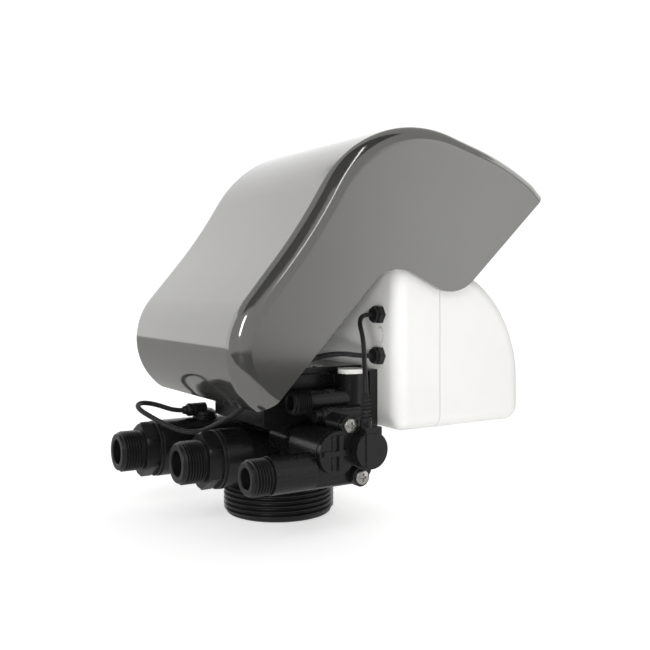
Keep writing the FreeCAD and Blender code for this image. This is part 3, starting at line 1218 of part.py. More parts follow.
# the flow sensor's lead: out of the sensor, a hairpin over the outlet, across the ports, up to the lower gland
METER_ROUTE = [
    (50, 47.6, 62.8), (50.2, 53.2, 63.2), (52, 60, 65.6), (53.6, 67, 68.2), (52.8, 75.2, 69.8),
    (46.9, 81.2, 69.3),
    (38.6, 81.9, 66.8), (32, 77.2, 63.2), (26.5, 71.5, 59.3), (20.5, 65.2, 55.8), (13.5, 58.4, 53.9),
    (5.5, 51.2, 55.6), (-7, 46.6, 62), (-18.5, 42.4, 67.6), (-29, 38.4, 75.4), (-38, 33.5, 84.4),
    (-44.5, 25.5, 93), (-49, 14, 100.4), (-52.4, 0, 105.4), (-55.6, -14, 106.4), (-57, -26, 104.5),
    (-57, -36, 104),
]


def lead(name, route, diameter):
    """A round lead along straight runs joined by tangent arcs."""
    points = [Vector(*p) for p in route]
    edges = []
    here = points[0]
    radii = []
    for before, corner, after in zip(points, points[1:], points[2:]):
        run_in, run_out = corner - before, after - corner
        turn = run_in.getAngle(run_out)
        radius = 0.45 * min(run_in.Length, run_out.Length) / math.tan(turn / 2)
        radii.append(round(radius, 1))
        start, middle, end = rounded_corner(before, corner, after, radius)
        edges += [Part.LineSegment(here, start).toShape(), Part.Arc(start, middle, end).toShape()]
        here = end
    edges.append(Part.LineSegment(here, points[-1]).toShape())
    path = Part.Wire(edges)
    section = Part.Wire([Part.makeCircle(diameter / 2, points[0], points[1] - points[0])])
    solid = path.makePipeShell([section], True, False)
    wanted = math.pi * diameter ** 2 / 4 * path.Length
    print(name, "length", round(path.Length, 1), "radii", radii, "volume ratio",
          round(solid.Volume / wanted, 4))
    return solid


def make_leads():
    node("cell_lead", coded("cell_lead_tube", lead("cell_lead", CELL_ROUTE, num("cell_lead_diameter"))))
    node("meter_lead", coded("meter_lead_tube", lead("meter_lead", METER_ROUTE, num("meter_lead_diameter"))))


# ---------------------------------------------------------------- build and write


def check_and_write():
    doc.recompute()
    for obj in doc.Objects:
        if "Invalid" in obj.State or "Error" in obj.State:
            raise RuntimeError(f"{obj.Name} failed: {obj.State}")
    os.makedirs("parts", exist_ok=True)
    for name, obj in NODES:
        shape = obj.Shape
        if shape.isNull() or not shape.isValid():
            raise RuntimeError(f"{name} has no valid shape")
        print(f"{name:18s} solids {len(shape.Solids)} volume {shape.Volume:10.1f}")
        shape.exportStep(f"parts/{name}.step")
    print(len(NODES), "nodes")


make_hood()
make_housing()
make_panel()
make_glands()
make_drive()
make_rotary_valve()
make_body()
make_collar()
make_ports()
make_meter()
make_brine_valve()
make_injector()
make_leads()
check_and_write()
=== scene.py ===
"""Looks of a motorised control-valve head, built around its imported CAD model.

Everything is in metres in the CAD model's own frame: +Z up along the tank thread, +Y the way the
service ports point, and the operator's panel faces -Y.
"""
import math
import bmesh
import bpy
from mathutils import Matrix, Quaternion, Vector


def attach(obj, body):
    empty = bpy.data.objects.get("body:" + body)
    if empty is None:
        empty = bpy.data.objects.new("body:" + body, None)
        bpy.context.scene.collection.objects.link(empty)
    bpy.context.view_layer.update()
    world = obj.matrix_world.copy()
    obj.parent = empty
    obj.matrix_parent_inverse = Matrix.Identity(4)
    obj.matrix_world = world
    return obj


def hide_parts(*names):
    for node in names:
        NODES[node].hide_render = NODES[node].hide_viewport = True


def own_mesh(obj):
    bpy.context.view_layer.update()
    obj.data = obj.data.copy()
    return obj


bl_info = {
    "name": "Control-valve head looks",
    "version": (1, 0, 0),
    "blender": (4, 5, 0),
    "location": "View3D > Sidebar > Valve head",
    "description": "Finishes and fine pieces of a motorised control-valve head",
    "category": "Object",
}

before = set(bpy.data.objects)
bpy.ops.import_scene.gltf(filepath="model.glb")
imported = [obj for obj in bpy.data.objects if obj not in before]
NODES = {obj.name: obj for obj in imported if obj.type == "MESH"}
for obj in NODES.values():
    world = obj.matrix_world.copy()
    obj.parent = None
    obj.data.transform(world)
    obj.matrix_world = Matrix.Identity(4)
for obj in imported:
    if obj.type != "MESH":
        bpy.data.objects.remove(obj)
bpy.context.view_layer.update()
MM = 0.001
TAU = 2 * math.pi
# places of the outputs used on the Mix node and on nodes with two results
MIXED_COLOUR = 2
SECOND = 1

# ---------------------------------------------------------------- shader maths


class Term:
    """A shader socket that can be added, multiplied and compared like a number."""

    def __init__(self, finish, socket):
        self.finish = finish
        self.socket = socket

    def math(self, operation, *others):
        """A Math node on this socket and the other numbers or sockets."""
        return self.finish.add("ShaderNodeMath", {"operation": operation},
                               dict(enumerate((self, *others))))

    def __add__(self, other):
        return self.math("ADD", other)

    def __radd__(self, other):
        return self.math("ADD", other)

    def __sub__(self, other):
        return self.math("SUBTRACT", other)

    def __rsub__(self, other):
        return self.math("SUBTRACT", other).math("MULTIPLY", -1.0)

    def __mul__(self, other):
        return self.math("MULTIPLY", other)

    def __rmul__(self, other):
        return self.math("MULTIPLY", other)

    def __gt__(self, other):
        return self.math("GREATER_THAN", other)

    def between(self, low, high):
        """0 below low, 1 above high, with a smooth step from one to the other."""
        return self.finish.add("ShaderNodeMapRange", {"interpolation_type": "SMOOTHSTEP"},
                               {"Value": self, "From Min": low, "From Max": high})


class Finish:
    """A material with one Principled shader, built up by adding nodes."""

    def __init__(self, name, **constants):
        self.material = bpy.data.materials.new(name)
        self.material.use_nodes = True
        self.tree = self.material.node_tree
        self.shader = self.tree.nodes["Principled BSDF"]
        self.place = None
        self.set(**constants)

    def set(self, **values):
        """Values or terms for the shader's sockets: base_color is its Base Color."""
        for name, value in values.items():
            self.feed(self.shader.inputs[name.replace("_", " ").title().replace("Ior", "IOR")], value)

    def feed(self, socket, value):
        """Links a term into a socket, or sets the socket's own value."""
        if isinstance(value, Term):
            self.tree.links.new(value.socket, socket)
        elif isinstance(value, (tuple, list)) and len(value) == 3 and socket.type == "RGBA":
            socket.default_value = (*value, 1.0)
        else:
            socket.default_value = value

    def add(self, kind, settings=None, values=None, output=0):
        """One node: its settings first, then its sockets' values or links."""
        made = self.tree.nodes.new(kind)
        for name, value in (settings or {}).items():
            setattr(made, name, value)
        for name, value in (values or {}).items():
            self.feed(made.inputs[name], value)
        return Term(self, made.outputs[output])

    def where(self):
        """Where a point is on the object, in metres."""
        if self.place is None:
            self.place = self.add("ShaderNodeTexCoord", output="Object")
        return self.place

    def along(self, axis):
        """The place along X, Y or Z, numbered 0, 1 or 2."""
        return self.add("ShaderNodeSeparateXYZ", values={0: self.where()}, output=axis)

    def stretched(self, x, y, z):
        """The place with each axis scaled: a scale below 1 draws a texture out along it."""
        return self.add("ShaderNodeVectorMath", {"operation": "MULTIPLY"}, {0: self.where(), 1: (x, y, z)})

    def noise(self, size, detail=2.0, rough=0.5, place=None):
        """Soft patches of about the given size in metres."""
        return self.add("ShaderNodeTexNoise", values={
            "Vector": place or self.where(), "Scale": 1 / size, "Detail": detail, "Roughness": rough})

    def cells(self, size):
        """Distance from the nearest of scattered points, about a size in metres apart."""
        return self.add("ShaderNodeTexVoronoi", values={"Vector": self.where(), "Scale": 1 / size})

    def blend(self, amount, first, second):
        """The first colour where amount is 0, the second where it is 1."""
        return self.add("ShaderNodeMix", {"data_type": "RGBA"},
                        {"Factor": amount, "A": first, "B": second}, MIXED_COLOUR)

    def soft_edges(self, radius):
        """The surface's direction with its sharp edges rounded over."""
        return self.add("ShaderNodeBevel", {"samples": 4}, {"Radius": radius})

    def edges(self, radius):
        """1 along sharp edges and 0 on flat faces."""
        true = self.add("ShaderNodeNewGeometry", output="Normal")
        turned = self.add("ShaderNodeVectorMath", {"operation": "DOT_PRODUCT"},
                          {0: self.soft_edges(radius), 1: true}, SECOND)
        return (1.0 - turned).between(0.02, 0.2)

    def relief(self, height, depth, normal, strength):
        """Bumps of a depth in metres where the height is 1, over the surface or its rounded edges."""
        values = {"Height": height, "Distance": depth, "Strength": strength}
        if normal is not None:
            values["Normal"] = normal
        self.set(normal=self.add("ShaderNodeBump", values=values))


def shade(colour, factor):
    """The colour made darker or lighter by a factor."""
    return tuple(min(1.0, c * factor) for c in colour[:3])


FINISHES = {}


def finish(name, build, *args, **settings):
    """The named material, made the first time it is asked for."""
    if name not in FINISHES:
        FINISHES[name] = build(name, *args, **settings).material
    return FINISHES[name]


def moulded_plastic(name, colour, roughness, relief=0.00003, wear=0.15, edge=0.0005):
    """Injection-moulded plastic: a fine spark-eroded grain, faint flow clouds and rubbed edges."""
    made = Finish(name, specular_ior_level=0.5)
    clouds = made.noise(0.03, 4.0)
    flow = made.noise(0.02, 3.0, 0.6, made.stretched(1.0, 1.0, 0.25))
    rubbed = made.edges(edge) * made.noise(0.004, 3.0).between(0.35, 0.7) * wear
    base = made.blend(clouds, shade(colour, 0.88), shade(colour, 1.12))
    made.set(base_color=made.blend(rubbed, base, tuple(0.5 * c + 0.22 for c in colour[:3])),
             roughness=roughness + (flow - 0.5) * 0.16 + made.noise(0.0015, 2.0) * 0.05)
    made.relief(made.noise(0.0006, 2.0, 0.7), relief, made.soft_edges(edge), 0.6)
    return made


# where the housing's halves meet and its rear face begins along Y, and its moulded ring: centre, radius
# and width over height
SEAM_Y = -0.076
REAR_FACE_Y = -0.0425
RING_X, RING_Z = -0.057, 0.117
RING_RADIUS = 0.0031
RING_SLIMNESS = 0.62


def housing_plastic(name, colour):
    """The white housing: moulded grain, the seam between its halves and a broken ring by the glands, whose
    groove is darkened with painted shade.
    """
    made = Finish(name, specular_ior_level=0.5)
    clouds = made.noise(0.03, 4.0)
    seam = 1.0 - (made.along(1) - SEAM_Y).math("ABSOLUTE").between(0.0001, 0.0004)
    spot = made.add("ShaderNodeVectorMath", {"operation": "DISTANCE"},
                    {0: made.stretched(1.0, 0.0, RING_SLIMNESS), 1: (RING_X, 0.0, RING_SLIMNESS * RING_Z)},
                    SECOND)
    outline = 1.0 - (spot - RING_RADIUS).math("ABSOLUTE").between(0.0001, 0.0004)
    broken = made.noise(0.0022, 0.0).between(0.42, 0.5)
    # painted shade: the ring's groove drawn dark, in broken dashes, on the rear face only
    painted_ring_shade = outline * broken * (made.along(1) > REAR_FACE_Y)
    lines = (seam * 0.5).math("MAXIMUM", painted_ring_shade * 0.7)
    rubbed = made.edges(0.0005) * made.noise(0.004, 3.0).between(0.35, 0.7) * 0.1
    base = made.blend(clouds, shade(colour, 0.96), shade(colour, 1.03))
    base = made.blend(rubbed, base, (0.9, 0.9, 0.88))
    # lines darkens the seam between the halves and paints shade into the ring's groove
    made.set(base_color=made.blend(lines, base, shade(colour, 0.3)),
             roughness=0.36 + made.noise(0.02, 3.0) * 0.1 + lines * 0.2)
    grain = made.noise(0.0007, 2.0, 0.7) * 0.12 - lines
    made.relief(grain, 0.00025, made.soft_edges(0.0006), 0.5)
    return made


def gloss_plastic(name, colour):
    """Polished smoke-grey cover with a bright metal flake, faint waves and a little dust."""
    made = Finish(name, coat_weight=0.35, coat_roughness=0.03, specular_ior_level=0.5)
    clouds = made.noise(0.05, 2.0)
    flake = made.noise(0.0009, 1.0, 0.8)
    specks = 1.0 - made.cells(0.0035).between(0.03, 0.08)
    dust = specks * made.noise(0.012, 2.0).between(0.6, 0.75)
    smears = made.noise(0.035, 3.0, 0.6, made.stretched(1.0, 0.5, 0.5)).between(0.45, 0.8)
    base = made.blend(clouds, shade(colour, 0.97), shade(colour, 1.04))
    base = made.blend(flake.between(0.45, 0.75) * 0.12, base, shade(colour, 1.5))
    made.set(base_color=made.blend(dust * 0.25, base, (0.62, 0.6, 0.57)), metallic=0.9 - dust * 0.6,
             roughness=0.10 + smears * 0.05 + dust * 0.2)
    made.relief(made.noise(0.05, 1.0), 0.0004, None, 0.3)
    return made


def soft_rubber(name, colour, roughness=0.7):
    """Moulded rubber or a lead's sheath, with a pale bloom in patches."""
    made = Finish(name, specular_ior_level=0.35)
    bloom = made.noise(0.006, 4.0, 0.6).between(0.4, 0.8)
    made.set(base_color=made.blend(bloom * 0.5, colour, tuple(c * 0.8 + 0.03 for c in colour[:3])),
             roughness=roughness + bloom * 0.12)
    made.relief(made.noise(0.0004, 3.0), 0.00003, None, 0.6)
    return made


def plated_steel(name, colour):
    """Bright zinc plate: light and dark clouds, a yellowish tint in places, and tool marks."""
    made = Finish(name, metallic=1.0)
    clouds = made.noise(0.003, 3.0)
    marks = made.noise(0.0008, 2.0, 0.6, made.stretched(1.0, 0.15, 1.0))
    base = made.blend(clouds, shade(colour, 0.82), shade(colour, 1.1))
    tinted = made.noise(0.0022, 1.0).between(0.55, 0.8) * 0.3
    made.set(base_color=made.blend(tinted, base, (0.74, 0.68, 0.5)),
             roughness=0.3 + (marks - 0.5) * 0.2)
    made.relief(marks, 0.00002, made.soft_edges(0.0002), 0.6)
    return made


def drawn_steel(name, colour):
    """Drawn or turned steel, with fine lines along Y."""
    made = Finish(name, metallic=1.0)
    lines = made.noise(0.0007, 3.0, 0.7, made.stretched(1.0, 0.06, 1.0))
    made.set(base_color=made.blend(lines, shade(colour, 0.75), shade(colour, 1.15)),
             roughness=0.34 + (lines - 0.5) * 0.25)
    made.relief(lines, 0.00001, made.soft_edges(0.0003), 0.5)
    return made


def circuit_board(name, colour):
    """Lacquered board: copper runs showing as raised lighter lines under the lacquer."""
    made = Finish(name, coat_weight=0.4)
    runs = made.add("ShaderNodeTexBrick", {"offset": 0.37, "squash": 1.4},
                    {"Vector": made.where(), "Scale": 160.0, "Mortar Size": 0.05, "Color1": (0, 0, 0),
                     "Color2": (0, 0, 0), "Mortar": (1, 1, 1)}, SECOND)
    islands = made.noise(0.006, 0.0).between(0.5, 0.55)
    copper = runs * islands
    made.set(base_color=made.blend(copper, colour, shade(colour, 2.2)), roughness=0.35 + copper * 0.1)
    made.relief(copper, 0.00004, None, 0.5)
    return made


def ceramic(name, colour):
    """Lapped ceramic with dark specks."""
    made = Finish(name, coat_weight=0.3)
    specks = made.noise(0.0007, 4.0, 0.8).between(0.62, 0.7)
    made.set(base_color=made.blend(specks, colour, shade(colour, 0.7)), roughness=0.22 + specks * 0.2)
    made.relief(made.noise(0.0015), 0.00001, None, 0.4)
    return made


def clear_window(name):
    """Clear hard plastic over the display, faintly smoked, with light scuffs."""
    made = Finish(name, ior=1.49, alpha=0.22)
    scuffs = made.noise(0.0012, 3.0, 0.8, made.stretched(1.0, 0.1, 1.0)).between(0.62, 0.72)
    made.set(base_color=made.blend(scuffs, (0.05, 0.06, 0.055), (0.4, 0.4, 0.4)),
             roughness=0.05 + scuffs * 0.3)
    made.material.surface_render_method = "BLENDED"
    return made


# ---------------------------------------------------------------- sizes and colours


ZINC = (0.72, 0.71, 0.68)
STEEL = (0.55, 0.55, 0.55)
SEAL_BLACK = (0.012, 0.012, 0.012)


class HeadColours(bpy.types.PropertyGroup):
    """Colours of the head's main mouldings"""
    hood: bpy.props.FloatVectorProperty(name="Hood", description="Colour of the hood", subtype="COLOR",
                                        default=(0.28, 0.277, 0.268))
    housing: bpy.props.FloatVectorProperty(name="Housing", description="Colour of the control housing",
                                           subtype="COLOR", default=(0.78, 0.775, 0.76))
    body: bpy.props.FloatVectorProperty(name="Valve body", description="Colour of the moulded valve parts",
                                        subtype="COLOR", default=(0.006, 0.006, 0.0065))
    lead: bpy.props.FloatVectorProperty(name="Leads", description="Colour of the leads' sheath",
                                        subtype="COLOR", default=(0.012, 0.012, 0.013))


class LeadSizes(bpy.types.PropertyGroup):
    """Diameters of the two leads"""
    cell: bpy.props.FloatProperty(name="Cell lead", description="Diameter of the lead to the round plug",
                                  subtype="DISTANCE", default=0.0029)
    meter: bpy.props.FloatProperty(name="Meter lead", description="Diameter of the flow sensor's lead",
                                   subtype="DISTANCE", default=0.0032)


class StageSizes(bpy.types.PropertyGroup):
    """Sizes of the stage and the strength of its light"""
    floor: bpy.props.FloatProperty(name="Floor width", description="Width of the pale floor",
                                   subtype="DISTANCE", default=8.0)
    light: bpy.props.FloatProperty(name="Light", description="Power that each lamp gives its share of",
                                   subtype="POWER", default=14.0)


# ---------------------------------------------------------------- making and placing


def new_object(name, data, material):
    """An object in the scene with one material."""
    obj = bpy.data.objects.new(name, data)
    bpy.context.scene.collection.objects.link(obj)
    data.materials.append(material)
    return obj


def dress(material, *names):
    """Gives carried-over CAD nodes a finish."""
    for name in names:
        mesh = NODES[name].data
        mesh.materials.clear()
        mesh.materials.append(material)


# ---------------------------------------------------------------- turned and threaded forms

# corners of a ring, and rows of corners in one pitch of a thread
SIDES = 72
PITCH_STEPS = 10
# a thread's ridge, in pitches: half its width at the foot, and the width of one flank
RIDGE_FOOT = 0.42
RIDGE_FLANK = 0.3
# a screw head's rim and the depth of its cross, as shares of the head's height
RIM_SHARE = 0.55
CROSS_SHARE = 0.55
HEAD_RINGS = 22
SCREW_PITCH = 1.4
SHARP_FROM = math.radians(40)
# how a form made along Z is turned to point along another axis
TURN_TO = {
    "Z": Quaternion((0, 0, 1), 0),
    "-Z": Quaternion((1, 0, 0), math.pi),
    "Y": Quaternion((1, 0, 0), -math.pi / 2),
    "X": Quaternion((0, 1, 0), math.pi / 2),
}


def hexagon(flats, most):
    """Radius of a hexagon across its flats at an angle, its corners turned down to the most."""
    def radius(angle):
        return min(most, flats / 2 / math.cos((angle + math.pi / 6) % (math.pi / 3) - math.pi / 6))
    return radius


def loop(form, radius, height):
    """A ring of corners about Z: the radius is a number, or a function of the angle."""
    made = []
    for i in range(SIDES):
        angle = TAU * i / SIDES
        r = radius(angle) if callable(radius) else radius
        made.append(form.verts.new((r * math.cos(angle), r * math.sin(angle), height)))
    return made


def skin(form, rows):
    """Faces between closed rows of corners, one after another."""
    for low, high in zip(rows, rows[1:]):
        for i in range(len(low)):
            j = (i + 1) % len(low)
            form.faces.new((low[i], low[j], high[j], high[i]))


def turn(form, profile):
    """The surface that a (radius, height) profile sweeps about Z."""
    skin(form, [loop(form, *step) for step in profile])


def ridge(part):
    """Height of a thread's ridge over one pitch, from 0 in its root to 1 on its crest."""
    return max(0.0, min(1.0, (RIDGE_FOOT - abs(part - 0.5)) / RIDGE_FLANK))


def eased(value):
    """A value held between 0 and 1, with a smooth start and end."""
    value = max(0.0, min(1.0, value))
    return value * value * (3 - 2 * value)


def helix(form, crest, depth, pitch, low, high):
    """A right-handed thread between two heights, its rows of corners climbing with the helix."""
    rows = []
    count = int((high - low) / pitch * PITCH_STEPS) + 2 * PITCH_STEPS
    for k in range(-PITCH_STEPS, count + PITCH_STEPS):
        row = []
        for i in range(SIDES):
            at = min(high, max(low, low + (k / PITCH_STEPS + i / SIDES) * pitch))
            rise = ridge(k / PITCH_STEPS % 1) * eased((at - low) / pitch) * eased((high - at) / pitch)
            r = crest - depth + depth * rise
            angle = TAU * i / SIDES
            row.append(form.verts.new((r * math.cos(angle), r * math.sin(angle), at)))
        rows.append(row)
    for k in range(len(rows) - PITCH_STEPS - 1):
        for i in range(SIDES):
            # after a full turn the thread goes on one pitch further up
            j, up = (i + 1, k) if i + 1 < SIDES else (0, k + PITCH_STEPS)
            form.faces.new((rows[k][i], rows[up][j], rows[up + 1][j], rows[k + 1][i]))


def cross_head(form, radius, height, arm):
    """The top of a domed screw head with a cross recess, from its middle out to its rim."""
    rows = []
    for k in range(HEAD_RINGS + 1):
        reach = radius * (0.01 + 0.99 * k / HEAD_RINGS)
        row = []
        for i in range(SIDES):
            angle = TAU * i / SIDES
            x, y = reach * math.cos(angle), reach * math.sin(angle)
            across, along = min(abs(x), abs(y)), max(abs(x), abs(y))
            inside = eased((0.24 * arm - across) / (0.08 * arm)) * eased((arm - along) / (0.2 * arm))
            dome = RIM_SHARE + (1 - RIM_SHARE) * math.sqrt(max(0.0, 1 - (reach / radius) ** 2))
            row.append(form.verts.new((x, y, height * (inside * CROSS_SHARE - dome))))
        rows.append(row)
    skin(form, rows)
    form.faces.new(rows[0])


def screw(head_radius, head_height, shank_radius, length):
    """A pan-head screw pointing up Z from the seat of its head at 0."""
    def build(form):
        cross_head(form, head_radius, head_height, 0.58 * head_radius)
        depth, point = 0.2 * shank_radius, length - shank_radius
        turn(form, [(head_radius, -RIM_SHARE * head_height), (head_radius, 0), (shank_radius - depth, 0)])
        helix(form, shank_radius, depth, SCREW_PITCH, 0, point)
        turn(form, [(shank_radius - depth, point), (0.3 * shank_radius, length),
                    (0.01 * shank_radius, length)])
    return build


def placed(pieces):
    """One mesh from (build, place, axis) entries, each built about its own Z in millimetres."""
    whole = bmesh.new()
    to_metres = Matrix.Diagonal((MM, MM, MM, 1))
    for build, place, axis in pieces:
        start = len(whole.verts)
        build(whole)
        whole.verts.ensure_lookup_table()
        turned = TURN_TO[axis].to_matrix().to_4x4()
        bmesh.ops.transform(whole, matrix=to_metres @ Matrix.Translation(place) @ turned,
                            verts=whole.verts[start:])
    bmesh.ops.remove_doubles(whole, verts=whole.verts, dist=0.000002)
    bmesh.ops.recalc_face_normals(whole, faces=whole.faces)
    mesh = bpy.data.meshes.new("form")
    whole.to_mesh(mesh)
    whole.free()
    return mesh


# ---------------------------------------------------------------- camera

CAMERA_AT = Vector((-0.5025, 0.2787, 0.150))
CAMERA_TOWARDS = Vector((0.847, -0.531, 0.0))


class VALVEHEAD_OT_camera(bpy.types.Operator):
    """Sets the camera behind and to the left of the head, level with the hood"""
    bl_idname = "valvehead.camera"
    bl_label = "Camera"

    def execute(self, context):
        lens = bpy.data.cameras.new("camera")
        lens.sensor_width = 36.0
        lens.lens = 47.74
        lens.shift_y = -0.0646
        lens.clip_start = 0.02
        camera = bpy.data.objects.new("camera", lens)
        camera.location = CAMERA_AT
        camera.rotation_euler = CAMERA_TOWARDS.to_track_quat("-Z", "Y").to_euler()
        context.scene.collection.objects.link(camera)
        context.scene.camera = camera
        return {"FINISHED"}


# ---------------------------------------------------------------- leads

# control points of the leads' lines, in millimetres
CELL_ROUTE = [
    (-57, -36, 130), (-57.2, -30.2, 130.2), (-59.2, -25.2, 128.2), (-63.2, -22, 124.2),
    (-69.2, -20, 118), (-76.4, -16, 110.2), (-83.6, -11.4, 102.8), (-89, -8.2, 97), (-91.8, -6.7, 91.6),
    (-92.15, -6.5, 86.3),
]
METER_ROUTE = [
    (50, 47.6, 62.8), (50.2, 53.2, 63.2), (52, 60, 65.6), (53.6, 67, 68.2), (52.8, 75.2, 69.8),
    (46.9, 81.2, 69.3), (38.6, 81.9, 66.8), (32, 77.2, 63.2), (26.5, 71.5, 59.3), (20.5, 65.2, 55.8),
    (13.5, 58.4, 53.9), (5.5, 51.2, 55.6), (-7, 46.6, 62), (-18.5, 42.4, 67.6), (-29, 38.4, 75.4),
    (-38, 33.5, 84.4), (-44.5, 25.5, 93), (-49, 14, 100.4), (-52.4, 0, 105.4), (-55.6, -14, 106.4),
    (-57, -26, 104.5), (-57, -36, 104),
]


def lead_curve(name, route, diameter):
    """A round sheath about a smooth line through a route in millimetres."""
    curve = bpy.data.curves.new(name, "CURVE")
    curve.dimensions = "3D"
    curve.bevel_depth = diameter / 2
    curve.bevel_resolution = 6
    curve.resolution_u = 12
    curve.use_fill_caps = True
    spline = curve.splines.new("NURBS")
    spline.points.add(len(route) - 1)
    for point, place in zip(spline.points, route):
        point.co = (*(c * MM for c in place), 1.0)
    spline.order_u = 3
    spline.use_endpoint_u = True
    return curve


def route_length(curve):
    """Length of the spline itself, measured on the curve without its thickness."""
    bare = curve.copy()
    bare.bevel_depth = 0.0
    probe = bpy.data.objects.new("probe", bare)
    mesh = bpy.data.meshes.new_from_object(probe)
    points = [v.co.copy() for v in mesh.vertices]
    bpy.data.objects.remove(probe)
    bpy.data.meshes.remove(mesh)
    bpy.data.curves.remove(bare)
    return sum((b - a).length for a, b in zip(points, points[1:]))


class VALVEHEAD_OT_leads(bpy.types.Operator):
    """Lays the two thin leads along their routes"""
    bl_idname = "valvehead.leads"
    bl_label = "Leads"

    def execute(self, context):
        sizes = context.scene.lead_sizes
        sheath = finish("lead_sheath", soft_rubber, tuple(context.scene.head_colours.lead), 0.42)
        for name, route, diameter in (("cell_lead", CELL_ROUTE, sizes.cell),
                                      ("meter_lead", METER_ROUTE, sizes.meter)):
            curve = lead_curve(name + "_sheath", route, diameter)
            obj = new_object(name + "_sheath", curve, sheath)
            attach(obj, "head")
            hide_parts(name)
            route_length(curve)
        return {"FINISHED"}


# ---------------------------------------------------------------- finishes of the CAD nodes


class VALVEHEAD_OT_hood(bpy.types.Operator):
    """Finishes the glossy hood"""
    bl_idname = "valvehead.hood"
    bl_label = "Hood"

    def execute(self, context):
        dress(finish("hood_gloss", gloss_plastic, tuple(context.scene.head_colours.hood)), "hood")
        return {"FINISHED"}


class VALVEHEAD_OT_housing(bpy.types.Operator):
    """Finishes the white housing and what is in it"""
    bl_idname = "valvehead.housing"
    bl_label = "Housing"

    def execute(self, context):
        colours = context.scene.head_colours
        dress(finish("housing_shell", housing_plastic, tuple(colours.housing)),
              "housing_rear", "housing_front")
        dress(finish("gland_nylon", moulded_plastic, tuple(colours.body), 0.35), "cable_glands")
        zinc = finish("zinc_plate", plated_steel, ZINC)
        dress(zinc, "housing_screws", "mounting_screws", "board_screws", "gear_screws")
        return {"FINISHED"}


class VALVEHEAD_OT_panel(bpy.types.Operator):
    """Finishes the display and keys"""
    bl_idname = "valvehead.panel"
    bl_label = "Panel"

    def execute(self, context):
        dress(finish("display_window", clear_window), "display_lens")
        dress(finish("display_case", moulded_plastic, (0.16, 0.19, 0.15), 0.4), "display_module")
        dress(finish("board_lacquer", circuit_board, (0.01, 0.07, 0.03)), "control_board", "sensor_board")
        dress(finish("key_rubber", soft_rubber, (0.09, 0.095, 0.1)),
              "key_down", "key_up", "key_set", "key_start")
        dress(finish("switch_plastic", moulded_plastic, (0.02, 0.02, 0.02), 0.5), "key_switches")
        return {"FINISHED"}


class VALVEHEAD_OT_body(bpy.types.Operator):
    """Finishes the black valve body, its lid, adapters and plugs"""
    bl_idname = "valvehead.body"
    bl_label = "Valve body"

    def execute(self, context):
        black = tuple(context.scene.head_colours.body)
        dress(finish("body_nylon", moulded_plastic, black, 0.24, relief=0.00002), "valve_body",
              "body_cover", "top_cover", "tank_collar", "outlet_adapter", "inlet_adapter", "drain_spigot",
              "brine_spigot", "meter_sensor", "check_plug", "injector_cover", "cell_plug")
        dress(finish("seal_rubber", soft_rubber, SEAL_BLACK), "top_gasket", "base_seals",
              "adapter_seals", "injector_gasket", "shaft_seals", "rotor_spring", "cell_boot")
        dress(finish("cap_white", moulded_plastic, (0.8, 0.79, 0.76), 0.45), "brine_cap", "brine_poppet",
              "meter_cage", "meter_cap", "injector_screen")
        dress(finish("zinc_plate", plated_steel, ZINC), "body_screws", "injector_screws")
        return {"FINISHED"}


# crest radius, depth and pitch of each thread, in millimetres
SERVICE_THREAD = (13.22, 1.16, 1.814)
DRAIN_THREAD = (10.48, 1.16, 1.814)
BRINE_THREAD = (7.95, 0.92, 1.5)
TANK_THREAD = (36.4, 1.9, 3.175)
# head radius, head height, shank radius and length of each screw, in millimetres
INJECTOR_SCREW = (4.2, 2.4, 2, 14.2)
COVER_SCREW = (3.6, 2.8, 2, 12)
LID_SCREW = (3.6, 1.1, 2, 12)


def adapter(form):
    """A union stub: sleeve, flange, chamfered hexagon and threaded end with a bevelled mouth."""
    crest, depth, pitch = SERVICE_THREAD
    root = crest - depth
    bevelled, full = hexagon(32, 16.7), hexagon(32, 18.2)
    turn(form, [(8, -11), (11.5, -11), (11.95, -10.5), (11.95, 0), (18.0, 0), (18.3, 0.3), (18.3, 1.2),
                (18.0, 1.5), (bevelled, 1.5), (full, 2.7), (full, 9.3), (bevelled, 10.5),
                (root + 0.4, 10.5), (root, 10.9)])
    helix(form, crest, depth, pitch, 10.9, 25.0)
    turn(form, [(root, 25.0), (root, 25.4), (root - 0.5, 26), (8.5, 26), (8, 25.5), (8, -11)])


def spigot(thread, length, bore):
    """A plain threaded pipe end with a bevelled mouth."""
    def build(form):
        crest, depth, pitch = thread
        root = crest - depth
        turn(form, [(bore, 0), (root, 0)])
        helix(form, crest, depth, pitch, 0, length - 0.9)
        turn(form, [(root, length - 0.9), (root, length - 0.5), (root - 0.5, length),
                    (bore + 0.5, length), (bore, length - 0.5), (bore, 0)])
    return build


def collar(form):
    """The tank collar: coarse thread outside, basket bore, web and riser seal groove inside."""
    crest, depth, pitch = TANK_THREAD
    root = crest - depth
    turn(form, [(30, 0.6), (30.6, 0), (root - 0.6, 0), (root, 0.6)])
    helix(form, crest, depth, pitch, 0.6, 21)
    turn(form, [(root, 21), (34, 21), (34, 24), (13.5, 24), (13.5, 22.7), (15.5, 22.7), (15.5, 20.2),
                (13.5, 20.2), (13.5, 19), (30, 19), (30, 0.6)])


def boot(form):
    """The bend relief of the cell plug's lead: rings that narrow along a thin stem."""
    bore, stem, round_off = 1.5, 1.75, 0.15
    profile = [(bore, 0), (3.2, 0), (3.3, 0.3), (3.3, 1.3), (3.0, 1.6)]
    for i in range(6):
        foot, wide = 2.0 + 2.15 * i, 3.0 - 0.13 * i
        profile += [(stem, foot), (stem, foot + 0.75), (wide - round_off, foot + 0.9), (wide, foot + 1.1),
                    (wide, foot + 1.75), (wide - round_off, foot + 1.95)]
    turn(form, profile + [(stem, 15.0), (1.7, 15.7), (bore, 16), (bore, 0)])


